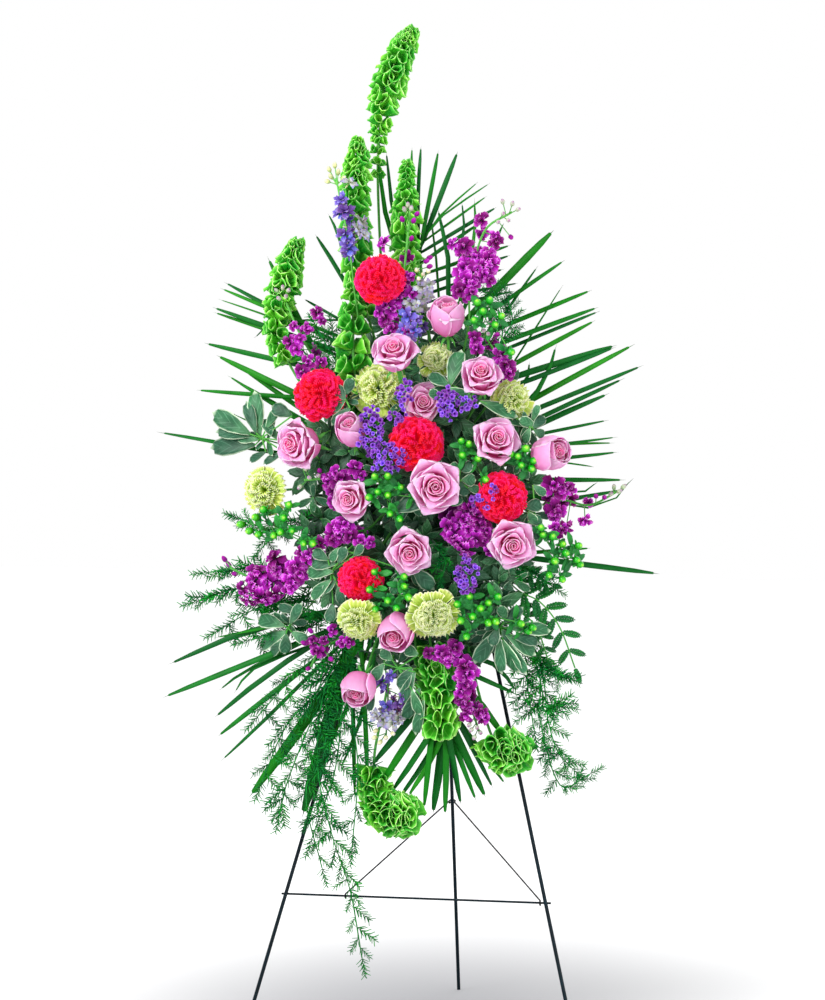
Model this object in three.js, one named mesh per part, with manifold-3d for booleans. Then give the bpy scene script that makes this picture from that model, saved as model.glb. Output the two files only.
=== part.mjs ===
// Standing funeral spray on a folding wire easel.
// Millimetres, +X to the spray's right as it is seen, +Y to the back, +Z up.
import * as THREE from "three";
import { mergeVertices } from "three/addons/utils/BufferGeometryUtils.js";
import Module from "manifold-3d";

const wasm = await Module();
wasm.setup();

// Easel: two front legs, one rear leg on a shared pivot pin, a crossbar and two hooked braces.
const legLength = 1067;
const leanBack = 190;
const frontSpread = 263;
const legWire = 6;
const barWire = 3.5;
const braceWire = 3;
const barHeight = 218;
const barOverhang = 8;
const hookPlaces = { left: -112, right: 199 };
const pinRadius = 2.5;
const pinHeadRadius = 5.2;
const pinHead = 1.6;
const eyeRadius = 6.3;
const eyeTurn = 290;
const slack = 0.4;

// Foam brick and the plastic cage that clips it to the front legs.
const foam = { width: 120, depth: 90, height: 280, below: 150 };
const tray = { plate: 3, lip: 14, wall: 2.4 };
const band = { width: 7, thick: 2, places: [-78, 78] };
const clip = { below: 110, length: 24, radius: 6.2, slot: 4.4 };

// What the photograph gives: its middle, its scale at the depth of the foam, and where the eye stood.
const picture = {
  middle: [412.5, 500],
  scale: 1.6,
  depth: 100,
  eyeDistance: 5000,
  eyeHeight: 847,
  aside: -23,
  turn: THREE.MathUtils.degToRad(9.5),
  roll: THREE.MathUtils.degToRad(0.85),
};

// The dome of flowers: its middle and half sizes in the photograph, its rim and crown in millimetres.
const dome = { middle: [425, 490], across: 190, down: 330, rim: 45, crown: 125 };
const facingFocus = { seen: [425, 490], out: -330 };

const flowerStem = 2.1;
const clearGap = 0.3;

const vec = (x, y, z) => new THREE.Vector3(x, y, z);
const upright = vec(0, 0, 1);
const turnOf = (degrees) => THREE.MathUtils.degToRad(degrees);

// Small seeded draw, so that every run places the same leaves.
let seed = 20260;
function draw(low, high) {
  seed = (seed * 16807) % 2147483647;
  return low + ((high - low) * seed) / 2147483647;
}

// Solids: a closed geometry becomes one that can be joined and cut.
function solid(geometry) {
  const bare = new THREE.BufferGeometry();
  bare.setAttribute("position", geometry.getAttribute("position"));
  bare.setIndex(geometry.index);
  const merged = mergeVertices(bare, 1e-3);
  const corners = merged.index.array;
  const faces = [];
  for (let i = 0; i < corners.length; i += 3) {
    const [a, b, c] = corners.slice(i, i + 3);
    if (a !== b && b !== c && c !== a) faces.push(a, b, c);
  }
  const build = (triangles) =>
    new wasm.Manifold(
      new wasm.Mesh({
        numProp: 3,
        vertProperties: new Float32Array(merged.attributes.position.array),
        triVerts: new Uint32Array(triangles),
      }),
    );
  const made = build(faces);
  if (made.volume() > 0) return made;
  for (let i = 0; i < faces.length; i += 3) [faces[i], faces[i + 1]] = [faces[i + 1], faces[i]];
  return build(faces);
}

const joined = (solids) => (solids.length === 1 ? solids[0] : wasm.Manifold.union(solids));

function largest(made) {
  return made.decompose().sort((a, b) => b.volume() - a.volume())[0];
}

function boxOf(made) {
  const { min, max } = made.boundingBox();
  return new THREE.Box3(vec(...min), vec(...max));
}

function geometryOf(made) {
  const mesh = made.getMesh();
  const places = new Float32Array(mesh.numVert * 3);
  for (let i = 0; i < mesh.numVert; i++) {
    places.set(mesh.vertProperties.subarray(i * mesh.numProp, i * mesh.numProp + 3), i * 3);
  }
  const geometry = new THREE.BufferGeometry();
  geometry.setAttribute("position", new THREE.BufferAttribute(places, 3));
  geometry.setIndex(new THREE.BufferAttribute(mesh.triVerts, 1));
  return geometry.toNonIndexed();
}

// A point seen at a place in the photograph, a given way in front of the foam's own depth.
const lookAcross = vec(Math.cos(picture.turn), Math.sin(picture.turn), 0);
const lookAhead = vec(-Math.sin(picture.turn), Math.cos(picture.turn), 0);
const eye = vec(picture.aside, picture.depth, picture.eyeHeight).addScaledVector(
  lookAhead,
  -picture.eyeDistance,
);
function spot([across, down], out = 0) {
  const u = across - picture.middle[0];
  const v = down - picture.middle[1];
  const right = u * Math.cos(picture.roll) + v * Math.sin(picture.roll);
  const below = v * Math.cos(picture.roll) - u * Math.sin(picture.roll);
  const ray = lookAhead
    .clone()
    .multiplyScalar(picture.eyeDistance / picture.scale)
    .addScaledVector(lookAcross, right)
    .addScaledVector(upright, -below);
  const reach = (picture.depth - out - eye.y) / ray.y;
  return eye.clone().addScaledVector(ray, reach);
}

// How far the dome of flowers stands out at a place in the photograph.
function domeOut([across, down]) {
  const u = (across - dome.middle[0]) / dome.across;
  const v = (down - dome.middle[1]) / dome.down;
  return dome.rim + dome.crown * Math.sqrt(Math.max(0, 1 - u * u - v * v));
}

// A route runs straight from point to point, its parameter even from one to the next.
class Route extends THREE.Curve {
  constructor(points) {
    super();
    this.points = points;
  }
  getPoint(t, target = vec()) {
    const last = this.points.length - 1;
    const i = Math.min(Math.floor(t * last), last - 1);
    return target.lerpVectors(this.points[i], this.points[i + 1], t * last - i);
  }
  getPointAt(u, target) {
    return this.getPoint(u, target);
  }
  getTangentAt(u, target = vec()) {
    const last = this.points.length - 1;
    const i = Math.round(u * last);
    const step = (k) => this.points[k + 1].clone().sub(this.points[k]).normalize();
    target.set(0, 0, 0);
    if (i > 0) target.add(step(i - 1));
    if (i < last) target.add(step(i));
    return target.normalize();
  }
}

function ringShape(radius, sides) {
  const turns = Array.from({ length: sides }, (_, i) => (2 * Math.PI * i) / sides);
  return new THREE.Shape(
    turns.map((a) => new THREE.Vector2(radius * Math.cos(a), radius * Math.sin(a))),
  );
}

// Wire or stem of one thickness along a list of points.
function wire(points, radius, sides) {
  const settings = { steps: points.length - 1, bevelEnabled: false, extrudePath: new Route(points) };
  return solid(new THREE.ExtrudeGeometry(ringShape(radius, sides), settings));
}

// Triangles between two rings of any two counts. Alike counts are split alike on both faces.
function stitch(countA, countB, a, b) {
  const faces = [];
  let i = 0;
  let j = 0;
  const stepsA = countA === 1 ? 0 : countA;
  const stepsB = countB === 1 ? 0 : countB;
  while (i < stepsA || j < stepsB) {
    const lead = stepsA && stepsB ? (i + 1) / stepsA - (j + 1) / stepsB : 0;
    const first = j === stepsB || (i < stepsA && (lead < 0 || (lead === 0 && i % 2 === 0)));
    if (first) faces.push(a(i), a(i + 1), b(j));
    else faces.push(a(i), b(j + 1), b(j));
    if (first) i += 1;
    else j += 1;
  }
  return faces;
}

// One closed surface over rings of points, with a point or a flat ring at each end.
function skin(rings) {
  const first = [0];
  for (const ring of rings) first.push(first.at(-1) + ring.length);
  const at = (i) => (j) => first[i] + (j % rings[i].length);
  const faces = [];
  for (let i = 0; i + 1 < rings.length; i++) {
    faces.push(...stitch(rings[i].length, rings[i + 1].length, at(i), at(i + 1)));
  }
  const end = rings.length - 1;
  for (let j = 1; j < rings[0].length - 1; j++) faces.push(at(0)(0), at(0)(j + 1), at(0)(j));
  for (let j = 1; j < rings[end].length - 1; j++) faces.push(at(end)(0), at(end)(j), at(end)(j + 1));
  const geometry = new THREE.BufferGeometry().setFromPoints(rings.flat());
  geometry.setIndex(faces);
  return geometry;
}

// Places a shape made along +Z from the origin: its own axis turned to a direction.
function stood(geometry, at, direction, spin = 0) {
  const turn = new THREE.Quaternion().setFromUnitVectors(upright, direction.clone().normalize());
  const own = new THREE.Quaternion().setFromAxisAngle(upright, spin);
  const size = vec(1, 1, 1);
  return geometry.applyMatrix4(new THREE.Matrix4().compose(at, turn.multiply(own), size));
}

// Places a flat shape made in X and Y: its X along one direction, its face towards another.
function faced(geometry, at, along, face) {
  const x = along.clone().normalize();
  const y = face.clone().cross(x).normalize();
  const z = x.clone().cross(y);
  const matrix = new THREE.Matrix4().makeBasis(x, y, z).setPosition(at);
  return geometry.applyMatrix4(matrix);
}

// Everything laid so far, for what comes later to be bent clear of.
const standing = [];
const pieces = new Map();
function remember(name, made, isStem = false) {
  standing.push({ name, made, isStem, box: boxOf(made) });
}
function keep(name, look, made, isStem = false) {
  if (!pieces.has(name)) pieces.set(name, { look, solids: [] });
  pieces.get(name).solids.push(made);
  remember(name, made, isStem);
}

// Clear of every other node, and for a sibling of its own node's other pieces but its stem.
function isClear(made, name, { asSibling = false, within = "" } = {}) {
  const box = boxOf(made).expandByScalar(clearGap);
  return !standing.some(
    (other) =>
      other.name !== within &&
      (other.name !== name || (asSibling && !other.isStem)) &&
      other.box.intersectsBox(box) &&
      made.minGap(other.made, clearGap) < clearGap,
  );
}

// Keeps the first of several ways to lay a piece that stays clear.
function keepClear(name, look, ways) {
  for (const way of ways) {
    const made = way();
    if (isClear(made, name, { asSibling: true })) {
      keep(name, look, made);
      return true;
    }
  }
  return false;
}

const looks = {
  wire: { color: 0x12303a, roughness: 0.45, metalness: 0.5 },
  brace: { color: 0x1b1f22, roughness: 0.5, metalness: 0.5 },
  foam: { color: 0x1f5a34, roughness: 0.95, metalness: 0 },
  plastic: { color: 0x1c4a2c, roughness: 0.6, metalness: 0 },
  rose: { color: 0xeaa6c8, roughness: 0.6, metalness: 0 },
  hotCarnation: { color: 0xf5205a, roughness: 0.7, metalness: 0 },
  limeCarnation: { color: 0xd3de7c, roughness: 0.7, metalness: 0 },
  bells: { color: 0x52b52a, roughness: 0.6, metalness: 0 },
  stock: { color: 0x9a1c98, roughness: 0.7, metalness: 0 },
  larkspur: { color: 0x7d72cf, roughness: 0.7, metalness: 0 },
  statice: { color: 0x6a3fc8, roughness: 0.8, metalness: 0 },
  hypericum: { color: 0x4fc81e, roughness: 0.35, metalness: 0 },
  pittosporum: { color: 0x4f7f5a, roughness: 0.55, metalness: 0 },
  palm: { color: 0x157a24, roughness: 0.45, metalness: 0 },
  asparagus: { color: 0x2a8f3c, roughness: 0.6, metalness: 0 },
  leatherleaf: { color: 0x166b30, roughness: 0.45, metalness: 0 },
};

// Easel. The legs' plane is a frame of its own: X across, -Y out to the front, +Z up along the legs,
// its origin where the legs run into their eyes. The pivot is one eye's radius behind it.
const legTop = Math.sqrt(legLength ** 2 - leanBack ** 2 - frontSpread ** 2);
const lean = Math.atan2(leanBack, legTop);
const leaningFrame = new THREE.Matrix4().makeRotationX(-lean).setPosition(0, leanBack, legTop);
const leaning = (x, y, z) => vec(x, y, z).applyMatrix4(leaningFrame);
const pivot = leaning(0, eyeRadius, 0);
const eyeStep = legWire + slack;
const legHalfAt = (height) => frontSpread - ((frontSpread - eyeStep) * height) / legTop;

// The rear leg is a line from its foot that touches the circle of its eye.
const rearFoot = pivot.y + Math.sqrt(legLength ** 2 - pivot.z ** 2);
const rearLean = Math.atan2(rearFoot - pivot.y, pivot.z) - Math.asin(eyeRadius / legLength);

// A bend round an axis along X, from one angle to another, 0 to the back and 90 up.
function bend(centre, radius, from, to, steps) {
  return Array.from({ length: steps + 1 }, (_, i) => {
    const a = turnOf(from + ((to - from) * i) / steps);
    return centre.clone().add(vec(0, radius * Math.cos(a), radius * Math.sin(a)));
  });
}

const belowFloor = new THREE.BoxGeometry(4 * frontSpread, 4 * rearFoot, 40).translate(0, 0, -20);
function leg(foot, eyeCentre, from, to) {
  const loop = bend(eyeCentre, eyeRadius, from, to, 7);
  const down = foot.clone().sub(loop[0]).normalize();
  const start = foot.clone().addScaledVector(down, 2 * legWire);
  return wire([start, ...loop], legWire / 2, 8).subtract(solid(belowFloor));
}

function addEasel() {
  const frontTangent = 180 - THREE.MathUtils.radToDeg(lean);
  for (const [side, name] of [[-1, "easel_left_leg"], [1, "easel_right_leg"]]) {
    const foot = vec(side * frontSpread, 0, 0);
    const eyeCentre = pivot.clone().setX(side * eyeStep);
    keep(name, looks.wire, leg(foot, eyeCentre, frontTangent, frontTangent - eyeTurn));
  }
  const rearTangent = THREE.MathUtils.radToDeg(rearLean);
  const rear = leg(vec(0, rearFoot, 0), pivot, rearTangent, rearTangent + eyeTurn);
  keep("easel_rear_leg", looks.wire, rear);

  const half = 1.5 * legWire + slack + 0.3;
  const profile = [
    [0, -half - pinHead],
    [pinHeadRadius, -half - pinHead],
    [pinHeadRadius, -half],
    [pinRadius, -half],
    [pinRadius, half],
    [pinHeadRadius, half],
    [pinHeadRadius, half + pinHead],
    [0, half + pinHead],
  ].map(([r, h]) => new THREE.Vector2(r, h));
  const pin = new THREE.LatheGeometry(profile, 8).rotateZ(Math.PI / 2);
  keep("easel_pivot_pin", looks.wire, solid(pin.translate(pivot.x, pivot.y, pivot.z)));

  const reach = legHalfAt(barHeight) + barOverhang;
  keep("easel_crossbar", looks.wire, wire([vec(-reach, 0, 0), vec(reach, 0, 0)]
    .map((p) => p.add(barCentre)), barWire / 2, 8));
  keep("easel_left_brace", looks.brace, brace(hookPlaces.left, 1));
  keep("easel_right_brace", looks.brace, brace(hookPlaces.right, -1));
}

// The crossbar lies behind the legs. The braces run square to the rear leg when the easel is open.
const barDrop = (legTop - barHeight) / Math.cos(lean);
const barCentre = leaning(0, (legWire + barWire) / 2 + 0.3, -barDrop);
const rearDown = vec(0, Math.sin(rearLean), -Math.cos(rearLean));
const braceAlong = vec(0, Math.cos(rearLean), Math.sin(rearLean));
const braceReach = pivot.clone().sub(barCentre).dot(braceAlong) + eyeRadius;
const hookRound = barWire / 2 + braceWire / 2 + slack + 0.1;
const eyeRound = legWire / 2 + braceWire / 2 + slack + 0.1;
function brace(hookX, side) {
  const hookCentre = barCentre.clone().setX(hookX);
  const tangent = 90 + THREE.MathUtils.radToDeg(rearLean);
  const hook = bend(hookCentre, hookRound, 305, tangent, 5);
  const centre = barCentre
    .clone()
    .addScaledVector(braceAlong, braceReach)
    .addScaledVector(rearDown, -side * (braceWire / 2 + slack));
  const round = Array.from({ length: 6 }, (_, i) => {
    const a = turnOf(180 - 38 * i);
    return centre
      .clone()
      .add(vec(side * eyeRound * Math.cos(a), 0, 0))
      .addScaledVector(braceAlong, eyeRound * Math.sin(a));
  });
  return wire([...hook, ...round], braceWire / 2, 5);
}

// The space that the rear leg and the braces sweep as the easel folds, which nothing grows into.
function addFoldSpace() {
  const wide = Math.max(...Object.values(hookPlaces).map(Math.abs)) + 20;
  const outline = [barCentre, vec(0, rearFoot, 0), pivot.clone().add(vec(0, 0, 20)), pivot];
  const shape = new THREE.Shape(outline.map((p) => new THREE.Vector2(p.y + 2, p.z)));
  const wedge = new THREE.ExtrudeGeometry(shape, { depth: 2 * wide, bevelEnabled: false });
  const turned = new THREE.Matrix4().makeBasis(vec(0, 1, 0), vec(0, 0, 1), vec(1, 0, 0));
  const made = solid(wedge.applyMatrix4(turned).translate(-wide, 0, 0));
  remember("fold space", made);
}

// Foam and cage, in the frame of the legs.
const plateFront = -(legWire / 2 + 0.3 + tray.plate);
const foamMiddle = vec(0, plateFront - 0.3 - foam.depth / 2, -foam.below);
const inFrame = (geometry) => solid(geometry.applyMatrix4(leaningFrame));
const block = (w, d, h, x, y, z) => new THREE.BoxGeometry(w, d, h).translate(x, y, z);

function foamBrick() {
  return inFrame(block(foam.width, foam.depth, foam.height, ...foamMiddle));
}

function cageShell() {
  const { width, height } = foam;
  const gap = 0.4;
  const outerW = width + 2 * (tray.wall + gap);
  const outerH = height + 2 * (tray.wall + gap);
  const deep = tray.plate + tray.lip;
  const backY = plateFront + tray.plate;
  const outer = inFrame(block(outerW, deep, outerH, 0, backY - deep / 2, -foam.below));
  const room = inFrame(
    block(width + 2 * gap, deep, height + 2 * gap, 0, plateFront - deep / 2, -foam.below),
  );
  const shell = [outer.subtract(room)];
  for (const place of band.places) {
    const z = -foam.below + place;
    const deepBand = foam.depth + 0.6 + band.thick;
    const hoop = inFrame(
      block(outerW, deepBand, band.width, 0, plateFront - deepBand / 2, z),
    );
    const inside = inFrame(
      block(width + 2 * gap, foam.depth + 2.6, 2 * band.width, 0, plateFront + 0.7 - foam.depth / 2, z),
    );
    shell.push(hoop.subtract(inside));
  }
  return joined([...shell, ...clips()]);
}

function clips() {
  return [-1, 1].map((side) => {
    const foot = vec(side * frontSpread, 0, 0);
    const top = leaning(side * eyeStep, 0, 0);
    const along = top.clone().sub(foot).normalize();
    const centre = top.clone().addScaledVector(along, -clip.below);
    const half = along.clone().multiplyScalar(clip.length / 2);
    const ends = [centre.clone().sub(half), centre.clone().add(half)];
    const long = [centre.clone().addScaledVector(half, -1.2), centre.clone().addScaledVector(half, 1.2)];
    const channel = (legWire / 2 + slack) / Math.cos(Math.PI / 8);
    const slot = new THREE.BoxGeometry(clip.slot, 2 * clip.radius, 1.2 * clip.length);
    slot.translate(0, clip.radius, 0);
    const ring = wire(ends, clip.radius, 8).subtract(wire(long, channel, 8));
    return ring.subtract(solid(stood(slot, centre, along)));
  });
}

// Stems run from a flower's base into the foam, towards a smaller copy of the whole layout.
const rootScale = { across: 0.2, up: 0.17, most: 118 };
function rootOf(place, depth, aside = [0, 0]) {
  const middle = foamMiddle.clone().applyMatrix4(leaningFrame);
  const rise = (place.z - middle.z) * rootScale.up + aside[1];
  return leaning(
    place.x * rootScale.across + aside[0],
    foamMiddle.y + depth,
    foamMiddle.z + THREE.MathUtils.clamp(rise, -rootScale.most, rootScale.most),
  );
}

// Where a line from the root leaves the foam, a little outside it.
const outside = 8;
const spikeStem = 1.7;
const holeScale = 1.4;
function kneeOf(root, towards) {
  const back = leaningFrame.clone().invert();
  const from = root.clone().applyMatrix4(back).sub(foamMiddle);
  const way = towards.clone().applyMatrix4(back).sub(foamMiddle).sub(from);
  const half = [foam.width / 2 + outside, foam.depth / 2 + outside, foam.height / 2 + outside];
  const shares = [way.x, way.y, way.z].map((step, i) => {
    const start = from.getComponent(i);
    return step ? (Math.sign(step) * half[i] - start) / step : Infinity;
  });
  return root.clone().lerp(towards, Math.min(...shares, 0.7));
}

// Ways to shift a root or a knee, nearest first, to try one after another.
const shifts = [[0, 0]];
for (const reach of [6, 11, 17, 24]) {
  for (let k = 0; k < 8; k++) {
    const a = (k * Math.PI) / 4 + reach;
    shifts.push([reach * Math.cos(a), reach * Math.sin(a)]);
  }
}

// Rings along a stem, carried back from an axis at its end without a twist.
function stemRings(points, radius, across, columns = 3) {
  const route = new Route(points);
  const last = points.length - 1;
  let side = across.clone();
  const rings = [];
  for (let i = last; i >= 0; i--) {
    const along = route.getTangentAt(i / last);
    side = side.addScaledVector(along, -side.dot(along)).normalize();
    const other = along.clone().cross(side);
    const corners = Array.from({ length: columns }, (_, k) => {
      const a = (2 * Math.PI * k) / columns;
      const corner = points[i].clone().addScaledVector(side, radius * Math.cos(a));
      return corner.addScaledVector(other, radius * Math.sin(a));
    });
    rings.unshift(corners);
  }
  return rings;
}

// The plain hole in the foam that a stem's straight foot stands in.
const holes = [];
function addHole(rings, root, knee) {
  const along = knee.clone().sub(root).normalize();
  const ends = [root.clone().addScaledVector(along, -1), knee];
  const grown = rings[0].map((corner) => corner.clone().sub(root).multiplyScalar(holeScale));
  holes.push(solid(skin(ends.map((end) => grown.map((corner) => corner.clone().add(end))))));
}

// A stem stands straight in the foam and bends outside it. Later stems of a node fork from its knee,
// or from its root where the knee has no clear way on.
const roots = new Map();
const nudges = [[0, 0, 0], [14, 0, 0], [-14, 0, 0], [0, 0, 14], [0, 0, -14], [0, 12, 0], [0, -12, 0]];
nudges.push([24, 8, 18], [-24, 8, -18], [24, -8, -18], [-24, -8, 18], [0, 24, 0], [34, 0, 0], [-34, 0, 0]);

function tryStem(name, places, radius, across, nudge, { root, knee, isNew }) {
  const moved = places[0].clone().add(vec(...nudge));
  const curve = new THREE.CatmullRomCurve3([knee, moved, ...places.slice(1)]);
  const steps = Math.max(2, Math.round(curve.getLength() / 110));
  const points = curve.getPoints(steps);
  const outer = solid(skin(stemRings(points, radius, across)));
  if (!isClear(outer, name)) return null;
  if (!isNew) return { made: [outer], points, line: points };
  const line = [root, ...points];
  const rings = stemRings(line, radius, across);
  const inner = solid(skin(rings.slice(0, 2)));
  if (!isClear(inner, name, { within: "foam" })) return null;
  addHole(rings, root, knee);
  return { made: [inner, outer], points, line };
}

function addStem(name, look, places, depth, settings = {}) {
  const { radius = flowerStem, towards = places[0], across = lookAcross, lay = true } = settings;
  const shared = roots.get(name);
  const fresh = shifts.map((shift) => {
    const root = shared ? shared.root : rootOf(towards, depth, shift);
    const aim = shared ? places[0].clone().add(vec(3 * shift[0], 0, 3 * shift[1])) : towards;
    return { root, knee: kneeOf(root, aim), isNew: true };
  });
  const fromKnee = shared ? nudges.map((nudge) => [nudge, { ...shared, isNew: false }]) : [];
  const fromRoot = nudges.flatMap((nudge) => fresh.map((start) => [nudge, start]));
  for (const [nudge, start] of [...fromKnee, ...fromRoot]) {
    const found = tryStem(name, places, radius, across, nudge, start);
    if (!found) continue;
    if (!shared) roots.set(name, { root: start.root, knee: start.knee });
    for (const made of found.made) {
      if (lay) keep(name, look, made, true);
      else remember(name, made, true);
    }
    return { line: found.line, route: new Route(found.points) };
  }
  throw new Error("no clear way for a stem of " + name);
}

// Blooms. A layer's radius and height are in widths of the bloom; a wave lifts and widens petals.
const roseLayers = [
  { r: 0.14, h: -0.56 },
  { r: 0.5, h: 0.02, petals: 5, out: 0.06, up: 0.04 },
  { r: 0.36, h: -0.06, petals: 5, out: 0.02, up: 0.02 },
  { r: 0.38, h: 0.13, petals: 5, out: -0.045, up: -0.035 },
  { r: 0.24, h: 0.02 },
  { r: 0.23, h: 0.2, petals: 5, out: 0.03, up: 0.03 },
  { r: 0.1, h: 0.1 },
];
const carnationLayers = [
  { r: 0.13, h: -0.34 },
  { r: 0.5, h: -0.08, petals: 6, out: 0.05, up: 0.035 },
  { r: 0.35, h: -0.02 },
  { r: 0.41, h: 0.13, petals: 6, out: -0.045, up: -0.035 },
  { r: 0.22, h: 0.1 },
  { r: 0.24, h: 0.24, petals: 6, out: 0.045, up: 0.035 },
];
const forms = {
  rose: { layers: roseLayers, heart: 0.22, columns: 10, foot: 0.62 },
  carnation: { layers: carnationLayers, heart: 0.16, columns: 12, foot: 0.5 },
};

// A frame at a bloom's middle: two axes across it and its own axis.
function axesOf(direction, spin) {
  const turn = new THREE.Quaternion().setFromUnitVectors(upright, direction);
  const own = new THREE.Quaternion().setFromAxisAngle(upright, spin);
  turn.multiply(own);
  return [vec(1, 0, 0), vec(0, 1, 0), vec(0, 0, 1)].map((axis) => axis.applyQuaternion(turn));
}

function bloomRings(form, size, tall, at, axes) {
  const place = (x, y, z) =>
    at.clone().addScaledVector(axes[0], x).addScaledVector(axes[1], y).addScaledVector(axes[2], z);
  const rings = form.layers.map(({ r, h, petals = 0, out = 0, up = 0 }) =>
    Array.from({ length: form.columns }, (_, j) => {
      const a = (2 * Math.PI * j) / form.columns;
      const wave = petals ? Math.cos(petals * a) : 0;
      const radius = size * (r + out * wave);
      return place(radius * Math.cos(a), radius * Math.sin(a), size * tall * (h + up * wave));
    }),
  );
  return [...rings, [place(0, 0, size * tall * form.heart)]];
}

// Roses: where each is seen, its width, how far forward of the dome, and how tall a bud it is.
const roses = [
  { seen: [444, 316], size: 54, forward: -10, tall: 1.35, faces: [0.15, 0.35, 0.75] },
  { seen: [394, 351], size: 78, forward: 25 },
  { seen: [481, 373], size: 74, forward: 10 },
  { seen: [423, 402], size: 62, forward: -45 },
  { seen: [350, 427], size: 58, forward: 0, tall: 1.25, faces: [0.05, 0.45, 0.2] },
  { seen: [297, 441], size: 82, forward: 10, faces: [-0.45, 0.85, -0.2] },
  { seen: [496, 439], size: 78, forward: 5 },
  { seen: [551, 452], size: 68, forward: 5, tall: 1.2, faces: [0.55, 0.8, -0.1] },
  { seen: [435, 487], size: 80, forward: 28 },
  { seen: [350, 500], size: 68, forward: 5 },
  { seen: [411, 551], size: 78, forward: 5 },
  { seen: [512, 546], size: 72, forward: 10 },
  { seen: [395, 632], size: 62, forward: -5, tall: 1.2, faces: [-0.1, 0.8, -0.4] },
  { seen: [358, 689], size: 62, forward: 20, tall: 1.2, faces: [-0.1, 0.75, -0.5] },
];
const hotCarnations = [
  { seen: [380, 278], size: 82, forward: 20 },
  { seen: [315, 390], size: 78, forward: 5 },
  { seen: [416, 441], size: 82, forward: 2 },
  { seen: [505, 498], size: 78, forward: 5 },
  { seen: [359, 578], size: 72, forward: 0 },
];
const limeCarnations = [
  { seen: [375, 386], size: 78, forward: -25 },
  { seen: [438, 354], size: 56, forward: -60 },
  { seen: [262, 487], size: 74, forward: 0 },
  { seen: [357, 620], size: 66, forward: 20 },
  { seen: [433, 621], size: 78, forward: 20 },
  { seen: [517, 398], size: 54, forward: -15 },
];

const focus = spot(facingFocus.seen, facingFocus.out);
function placeHeads(list, name, look, form) {
  return list.map(({ seen, size, forward, tall = 1, faces }, i) => {
    const at = spot(seen, domeOut(seen) + forward);
    const direction = faces ? vec(faces[0], -faces[1], faces[2]) : at.clone().sub(focus);
    const axes = axesOf(direction.normalize(), draw(0, 6));
    const node = name + "_" + String(i + 1).padStart(2, "0");
    const base = at.clone().addScaledVector(direction, -size * tall * form.foot);
    const rings = bloomRings(form, size, tall, at, axes);
    const head = solid(skin([[base], ...rings]));
    if (!isClear(head, node)) throw new Error(node + " meets another bloom");
    remember(node, head);
    return { node, look, base, axes, rings };
  });
}

function addBlooms(heads, depth) {
  for (const { node, look, base, axes, rings } of heads) {
    const elbow = base.clone().addScaledVector(axes[2], -35);
    const stalk = base.clone().addScaledVector(axes[2], -1);
    const stem = addStem(node, look, [elbow, stalk], depth, { across: axes[0], lay: false });
    const stemLine = [...stem.line.slice(0, -1), base];
    const made = solid(skin([...stemRings(stemLine, flowerStem, axes[0]), ...rings]));
    pieces.set(node, { look, solids: [made] });
  }
}

// A spike runs through places seen in the photograph, each with its own distance out.
const through = (places) => places.map(([across, down, out]) => spot([across, down], out));

// Points round a stem, each with the direction in which its flower stands.
function round(curve, from, to, count, rise, turn = 2.4) {
  return Array.from({ length: count }, (_, i) => {
    const t = from + ((to - from) * (i + 0.5)) / count;
    const at = curve.getPoint(t);
    const along = curve.getTangent(t);
    const aside = vec(0, -1, 0).cross(along).normalize();
    const front = along.clone().cross(aside);
    const a = turn * i;
    const outwards = aside.multiplyScalar(Math.cos(a)).addScaledVector(front, Math.sin(a));
    return { t, at, way: outwards.addScaledVector(along, rise).normalize(), share: i / count };
  });
}

// A spike: whorls of cups or florets round a stem, in one skin. A whorl is a lobed rim over a hollow.
// Each whorl is drawn in until it stays clear of its neighbours.
function addSpike(name, look, stem, form, { from, whorls, size }) {
  const { columns, lobe, gap, rise, hollow, closing = 0.55 } = form;
  const { route, line } = stem;
  const before = Math.max(1, Math.ceil(from * (route.points.length - 1)));
  const points = line.slice(0, line.length - route.points.length + before);
  points.push(route.getPoint(from));
  const rings = stemRings(points, spikeStem, lookAcross);
  let side = lookAcross.clone();
  for (let i = 0; i < whorls; i++) {
    const share = i / Math.max(1, whorls - 1);
    const t = from + (1 - from) * share * 0.97;
    const at = route.getPoint(t);
    const along = route.getTangent(t);
    side = side.addScaledVector(along, -side.dot(along)).normalize();
    const other = along.clone().cross(side);
    const ringOf = (radiusOf, heightOf) =>
      Array.from({ length: columns }, (_, j) => {
        const a = (2 * Math.PI * j) / columns;
        const isGap = (j + i) % lobe === lobe - 1;
        const corner = at.clone().addScaledVector(along, heightOf(isGap));
        corner.addScaledVector(side, radiusOf(isGap) * Math.cos(a));
        return corner.addScaledVector(other, radiusOf(isGap) * Math.sin(a));
      });
    const full = THREE.MathUtils.lerp(size[0], size[1], share) / 2;
    for (const scale of [1, 0.85, 0.7, 0.55, 0.4, 0.28, 0.18]) {
      const reach = full * scale;
      const rim = ringOf((isGap) => reach * (isGap ? gap : 1), (isGap) => reach * rise * (isGap ? 0.4 : 1));
      const inner = ringOf(
        (isGap) => reach * closing * (isGap ? gap * 1.2 : 1),
        (isGap) => reach * (isGap ? rise * 0.5 : hollow),
      );
      const top = at.clone().addScaledVector(along, reach * rise);
      const trial = solid(skin([rings.at(-1), rim, inner, [top]]));
      if (!isClear(trial, name)) continue;
      remember(name, trial, true);
      rings.push(rim, inner);
      break;
    }
  }
  for (const reach of [0.45, 0.2, 0.05]) {
    const tip = route.getPoint(1).addScaledVector(route.getTangent(1), size[1] * reach);
    const last = solid(skin([rings.at(-1), [tip]]));
    if (reach > 0.1 && !isClear(last, name)) continue;
    remember(name, last, true);
    keep(name, look, solid(skin([...rings, [tip]])), true);
    return;
  }
}

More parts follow.
